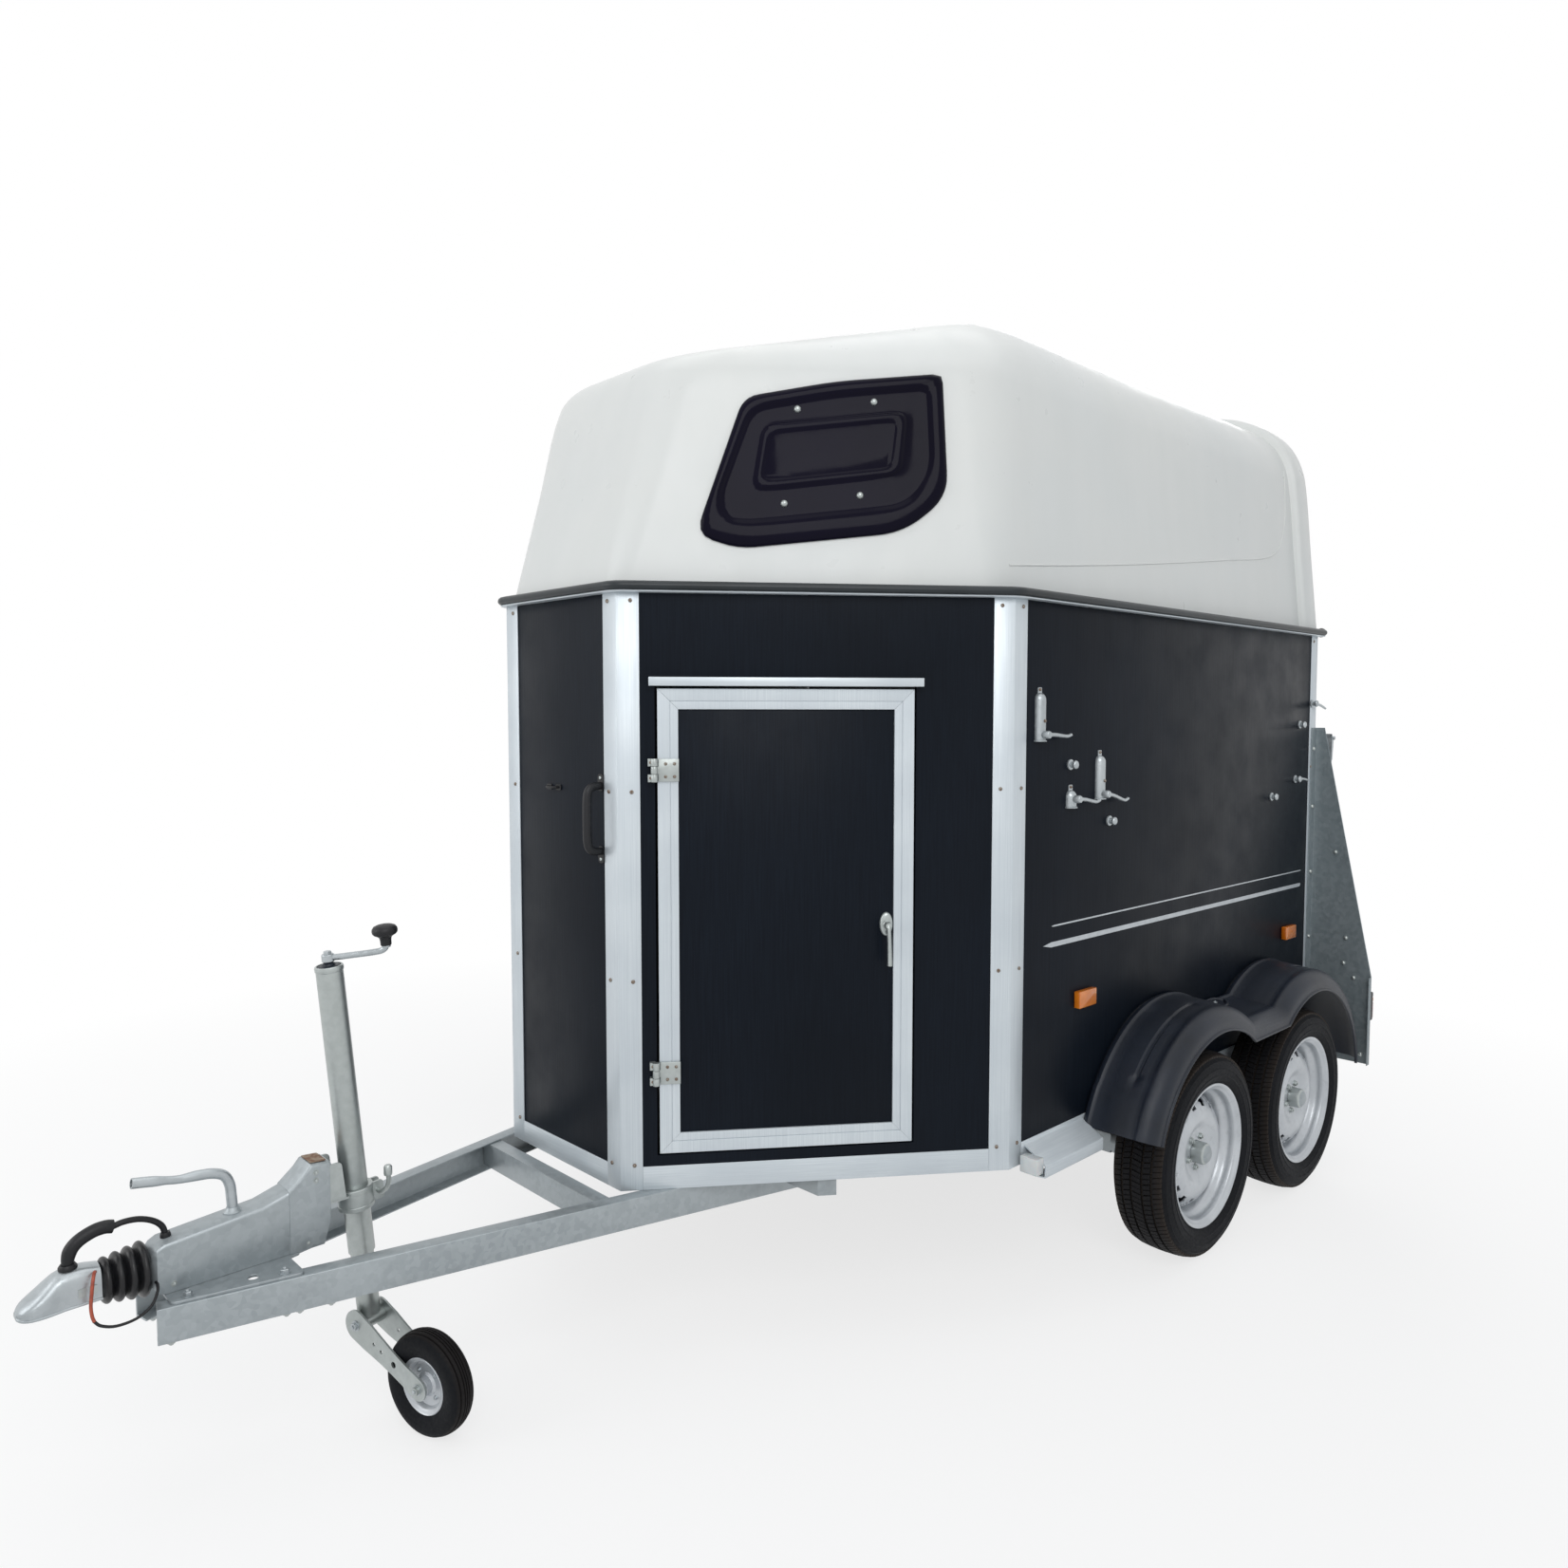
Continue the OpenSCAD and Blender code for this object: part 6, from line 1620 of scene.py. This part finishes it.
EYE_STEPS, EYE_LONG, EYE_WIDE, EYE_INSIDE, DARK_OVER, LOOK_FROM = 36, 0.066, 0.026, 0.84, 0.0012, 1.3
eye_x, eye_y = (front_wheel.x + rear_wheel.x) / 2 + 0.045, 0.897
rim_points, dark_points = [], []
for a in turns(EYE_STEPS):
    for share, found in ((1.0, rim_points), (EYE_INSIDE, dark_points)):
        wide = EYE_WIDE * share * (1 - 0.25 * math.cos(2 * a))
        start = Vector((eye_x + EYE_LONG * share * math.cos(a), eye_y + wide * math.sin(a), LOOK_FROM))
        found.append(on_surface(guard_left, start, -UP))
eye_middle = on_surface(guard_left, Vector((eye_x, eye_y, LOOK_FROM)), -UP)
eye_rim = skin("eye_rim", tube_rings(rim_points + rim_points[:1], 0.0065, 10))
eye_dark = piece("eye_dark", [p + UP * DARK_OVER for p in dark_points + [eye_middle]],
                 [(k, (k + 1) % EYE_STEPS, EYE_STEPS) for k in range(EYE_STEPS)])
settle_pair(joined("guard_eye_left", [eye_rim, outwards(eye_dark)]), guard_black, "guard", angle=40)
fasten("guard_bolts", both_sides([(eye_middle + UP * 0.001, UP)]), hex_head, 0.0105, bright_steel, "guard")

HOOD_LINE = ((-0.010, 2.035), (-0.300, 2.062), (-0.650, 2.098), (-1.000, 2.138), (-1.330, 2.178),
             (-1.560, 2.204), (-1.690, 2.232), (-1.770, 2.290), (-1.812, 2.380), (-1.835, 2.480),
             (-1.846, 2.560))
looks = [on_surface(hood_moulding, Vector((p.x, 1.4, p.z)), -LEFT)
         for p in smooth_route([(x, 0, z) for x, z in HOOD_LINE], 5)]
line = [place for place in looks if place]
settle_pair(skin("hood_line_left", tube_rings(line, 0.0028, 8)), gelcoat, "hood", angle=60)
print("guard eye at", [round(v, 3) for v in eye_middle], "hood line points:", len(line))

# %% [markdown]
# A sprung handle on each rear wing keeps the ramp shut: a bright frame round a dark slot on a hinge pin.
# Below it the tail lamps sit in black housings with three lenses.

# %% Ramp catch handles
catch_place = axes(Vector((rear_x - 0.004, 0.903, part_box("rear_wings")[1].z - 0.075)), LEFT, UP, -AHEAD)
catch_frame = rounded_plate("catch_frame", ((-17, -52, 9), (17, -52, 9), (21, 40, 12), (-21, 40, 12)), 4, 16,
                            catch_place, 6)
catch_slot = ((-8.5, -36, 6), (8.5, -36, 6), (10.5, 18, 8), (-10.5, 18, 8))
cut_away(catch_frame, rounded_plate("catch_slot", catch_slot, -10, 50, catch_place, 6))
round_edges(catch_frame, 0.0022, 2, 30)
catch_pin = turned("catch_pin", ((0, -26), (6.5, -26), (7, -24), (7, 24), (6.5, 26), (0, 26)),
                   catch_place @ axes(Vector((0, 0.036, 0.010)), UP, -LEFT, AHEAD), 16)
catch_base = rounded_plate("catch_base", oblong(-19, 19, -58, 52, 4), 0, 4, catch_place)
settle_pair(joined("catch_handle_left", [catch_frame, catch_pin, catch_base]), bright_steel, STEEL, angle=35)

# %% Tail lamps
lamp_low, lamp_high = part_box("tail_lamps")
LAMP_L, EDGE, GAP_HALF = 0.100, 0.004, 0.0006
behind = axes(Vector((lamp_high.x, 0, 0)), LEFT, UP, -AHEAD)
LENSES = ((0.0, 0.62, red, "red lamp"), (0.62, 0.80, amber, "amber lamp"), (0.80, 1.0, clear, "white lamp"))


def on_both_sides(name, outline, low, high, edge=0.0):
    """A lamp's slab and its mirror image as one piece."""
    left = slab(name, outline, low, high, behind)
    if edge:
        round_edges(left, edge, 2, 30)
    return joined(name, [left, mirrored(left, name + "_right")])


bezel = arc_points(oblong(lamp_high.y - LAMP_L, lamp_high.y, lamp_low.z, lamp_high.z, 0.006), 4)
settle(on_both_sides("tail_housings", bezel, 0.0, 0.020), grip_black, "black plastic")
for start, end, glass, slot in LENSES:
    z0, z1 = (lamp_low.z + EDGE + (lamp_high.z - lamp_low.z - 2 * EDGE) * s for s in (start, end))
    corners = oblong(lamp_high.y - LAMP_L + EDGE, lamp_high.y - EDGE, z0 + GAP_HALF, z1 - GAP_HALF, EDGE)
    lens_pair = on_both_sides("tail_lens_" + slot.split()[0], arc_points(corners, 3), 0.018, 0.040, 0.003)
    settle(lens_pair, glass, slot, *(["tail_lamps"] if glass is red else []))
print("tail lamp", [round(v, 3) for v in lamp_low], [round(v, 3) for v in lamp_high])

# %% [markdown]
# The step plates ahead of the mudguards are folded sheet: a sloping top, an outer face and a lip below.

# %% Step plates
step_low, step_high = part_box("side_steps")
STEP_SECTION = ((0, 0, 0), (68, -40, 3), (68, -74, 3), (26, -78, 0), (26, -74.5, 0), (64.5, -70.5, 2),
                (64.5, -42.5, 2), (0, -4.5, 0))
steps = [slab("step", arc_points(mm(STEP_SECTION), 4), 0, step_high.x - step_low.x,
              axes(Vector((step_low.x, side * (half_w + TRIM_OUT), step_high.z)), LEFT * side, UP, AHEAD))
         for side in (1, -1)]
settle(joined("folded_steps", steps), aluminium_level, "aluminium", "side_steps", angle=30)
print("steps:", [round(v, 3) for v in step_low])

# %% [markdown]
# The floor and the sky are plain white where the camera sees them, also in a mirror or through glass, but
# to the object they are a soft grey light. That keeps the white of the picture apart from the light on
# the trailer. The floor still takes the shadow.

# %% Floor, sky and lamps
def white_to_the_eye(graph, plain, white):
    """Mixes a plain shader with a white one for the rays that form the picture."""
    path = graph.add("ShaderNodeLightPath").outputs
    also = graph.add("ShaderNodeMath", {0: path["Is Glossy Ray"], 1: path["Is Transmission Ray"]},
                     operation="MAXIMUM")
    seen = graph.add("ShaderNodeMath", {0: path["Is Camera Ray"], 1: also.outputs[0]}, operation="MAXIMUM")
    return graph.add("ShaderNodeMixShader", {0: seen.outputs[0], 1: plain, 2: white}).outputs[0]


world = bpy.data.worlds.new("studio")
bpy.context.scene.world = world
world.use_nodes = True
sky = Graph(world.node_tree)
soft_light = sky.nodes["Background"]
soft_light.inputs["Color"].default_value = linear("e8edf2")
soft_light.inputs["Strength"].default_value = 0.5
white_sky = sky.add("ShaderNodeBackground", {"Color": (1, 1, 1, 1), "Strength": 1.0})
sky.links.new(white_to_the_eye(sky, soft_light.outputs[0], white_sky.outputs[0]),
              sky.nodes["World Output"].inputs["Surface"])

FLOOR_HALF = 60
corners = [(x * FLOOR_HALF, y * FLOOR_HALF, 0) for x, y in ((-1, -1), (1, -1), (1, 1), (-1, 1))]
studio_floor = piece("studio_floor", corners, [(0, 1, 2, 3)])
ground = Finish("studio floor", "ffffff", roughness=0.9)
ground.set("Base Color", (0.9, 0.9, 0.9, 1))
# The floor goes over to plain white some way off, so that it meets the sky without an edge
place = ground.add("ShaderNodeTexCoord").outputs["Object"]
distance = ground.add("ShaderNodeVectorMath", {0: place}, operation="LENGTH").outputs["Value"]
glow = ground.add("ShaderNodeEmission", {"Strength": 1.0})
half = ground.add("ShaderNodeMixShader", {0: ground.spread(distance, 0.74, 1.0, 1.8, 4.5),
                                          1: ground.surface.outputs[0], 2: glow.outputs[0]})
ground.links.new(white_to_the_eye(ground, ground.surface.outputs[0], half.outputs[0]),
                 ground.nodes["Material Output"].inputs["Surface"])
studio_floor.data.materials.append(ground.material)

LAMPS = (
    # name, place, size, watts
    ("key", (3.5, 5.0, 5.0), 4.0, 165), ("fill", (6.5, -2.5, 3.5), 4.0, 110),
    ("top", (-0.5, 0.0, 7.0), 6.0, 90), ("back", (-6.5, -3.0, 4.0), 4.0, 110),
)
for name, place, size, watts in LAMPS:
    data = bpy.data.lights.new(name, "AREA")
    data.energy, data.size = watts, size
    lamp = bpy.data.objects.new(name, data)
    lamp.location = place
    lamp.rotation_euler = (Vector((0, 0, 1.1)) - Vector(place)).to_track_quat("-Z", "Y").to_euler()
    bpy.context.scene.collection.objects.link(lamp)
bpy.context.scene.view_settings.view_transform = "Standard"
print("lamps:", len(LAMPS))
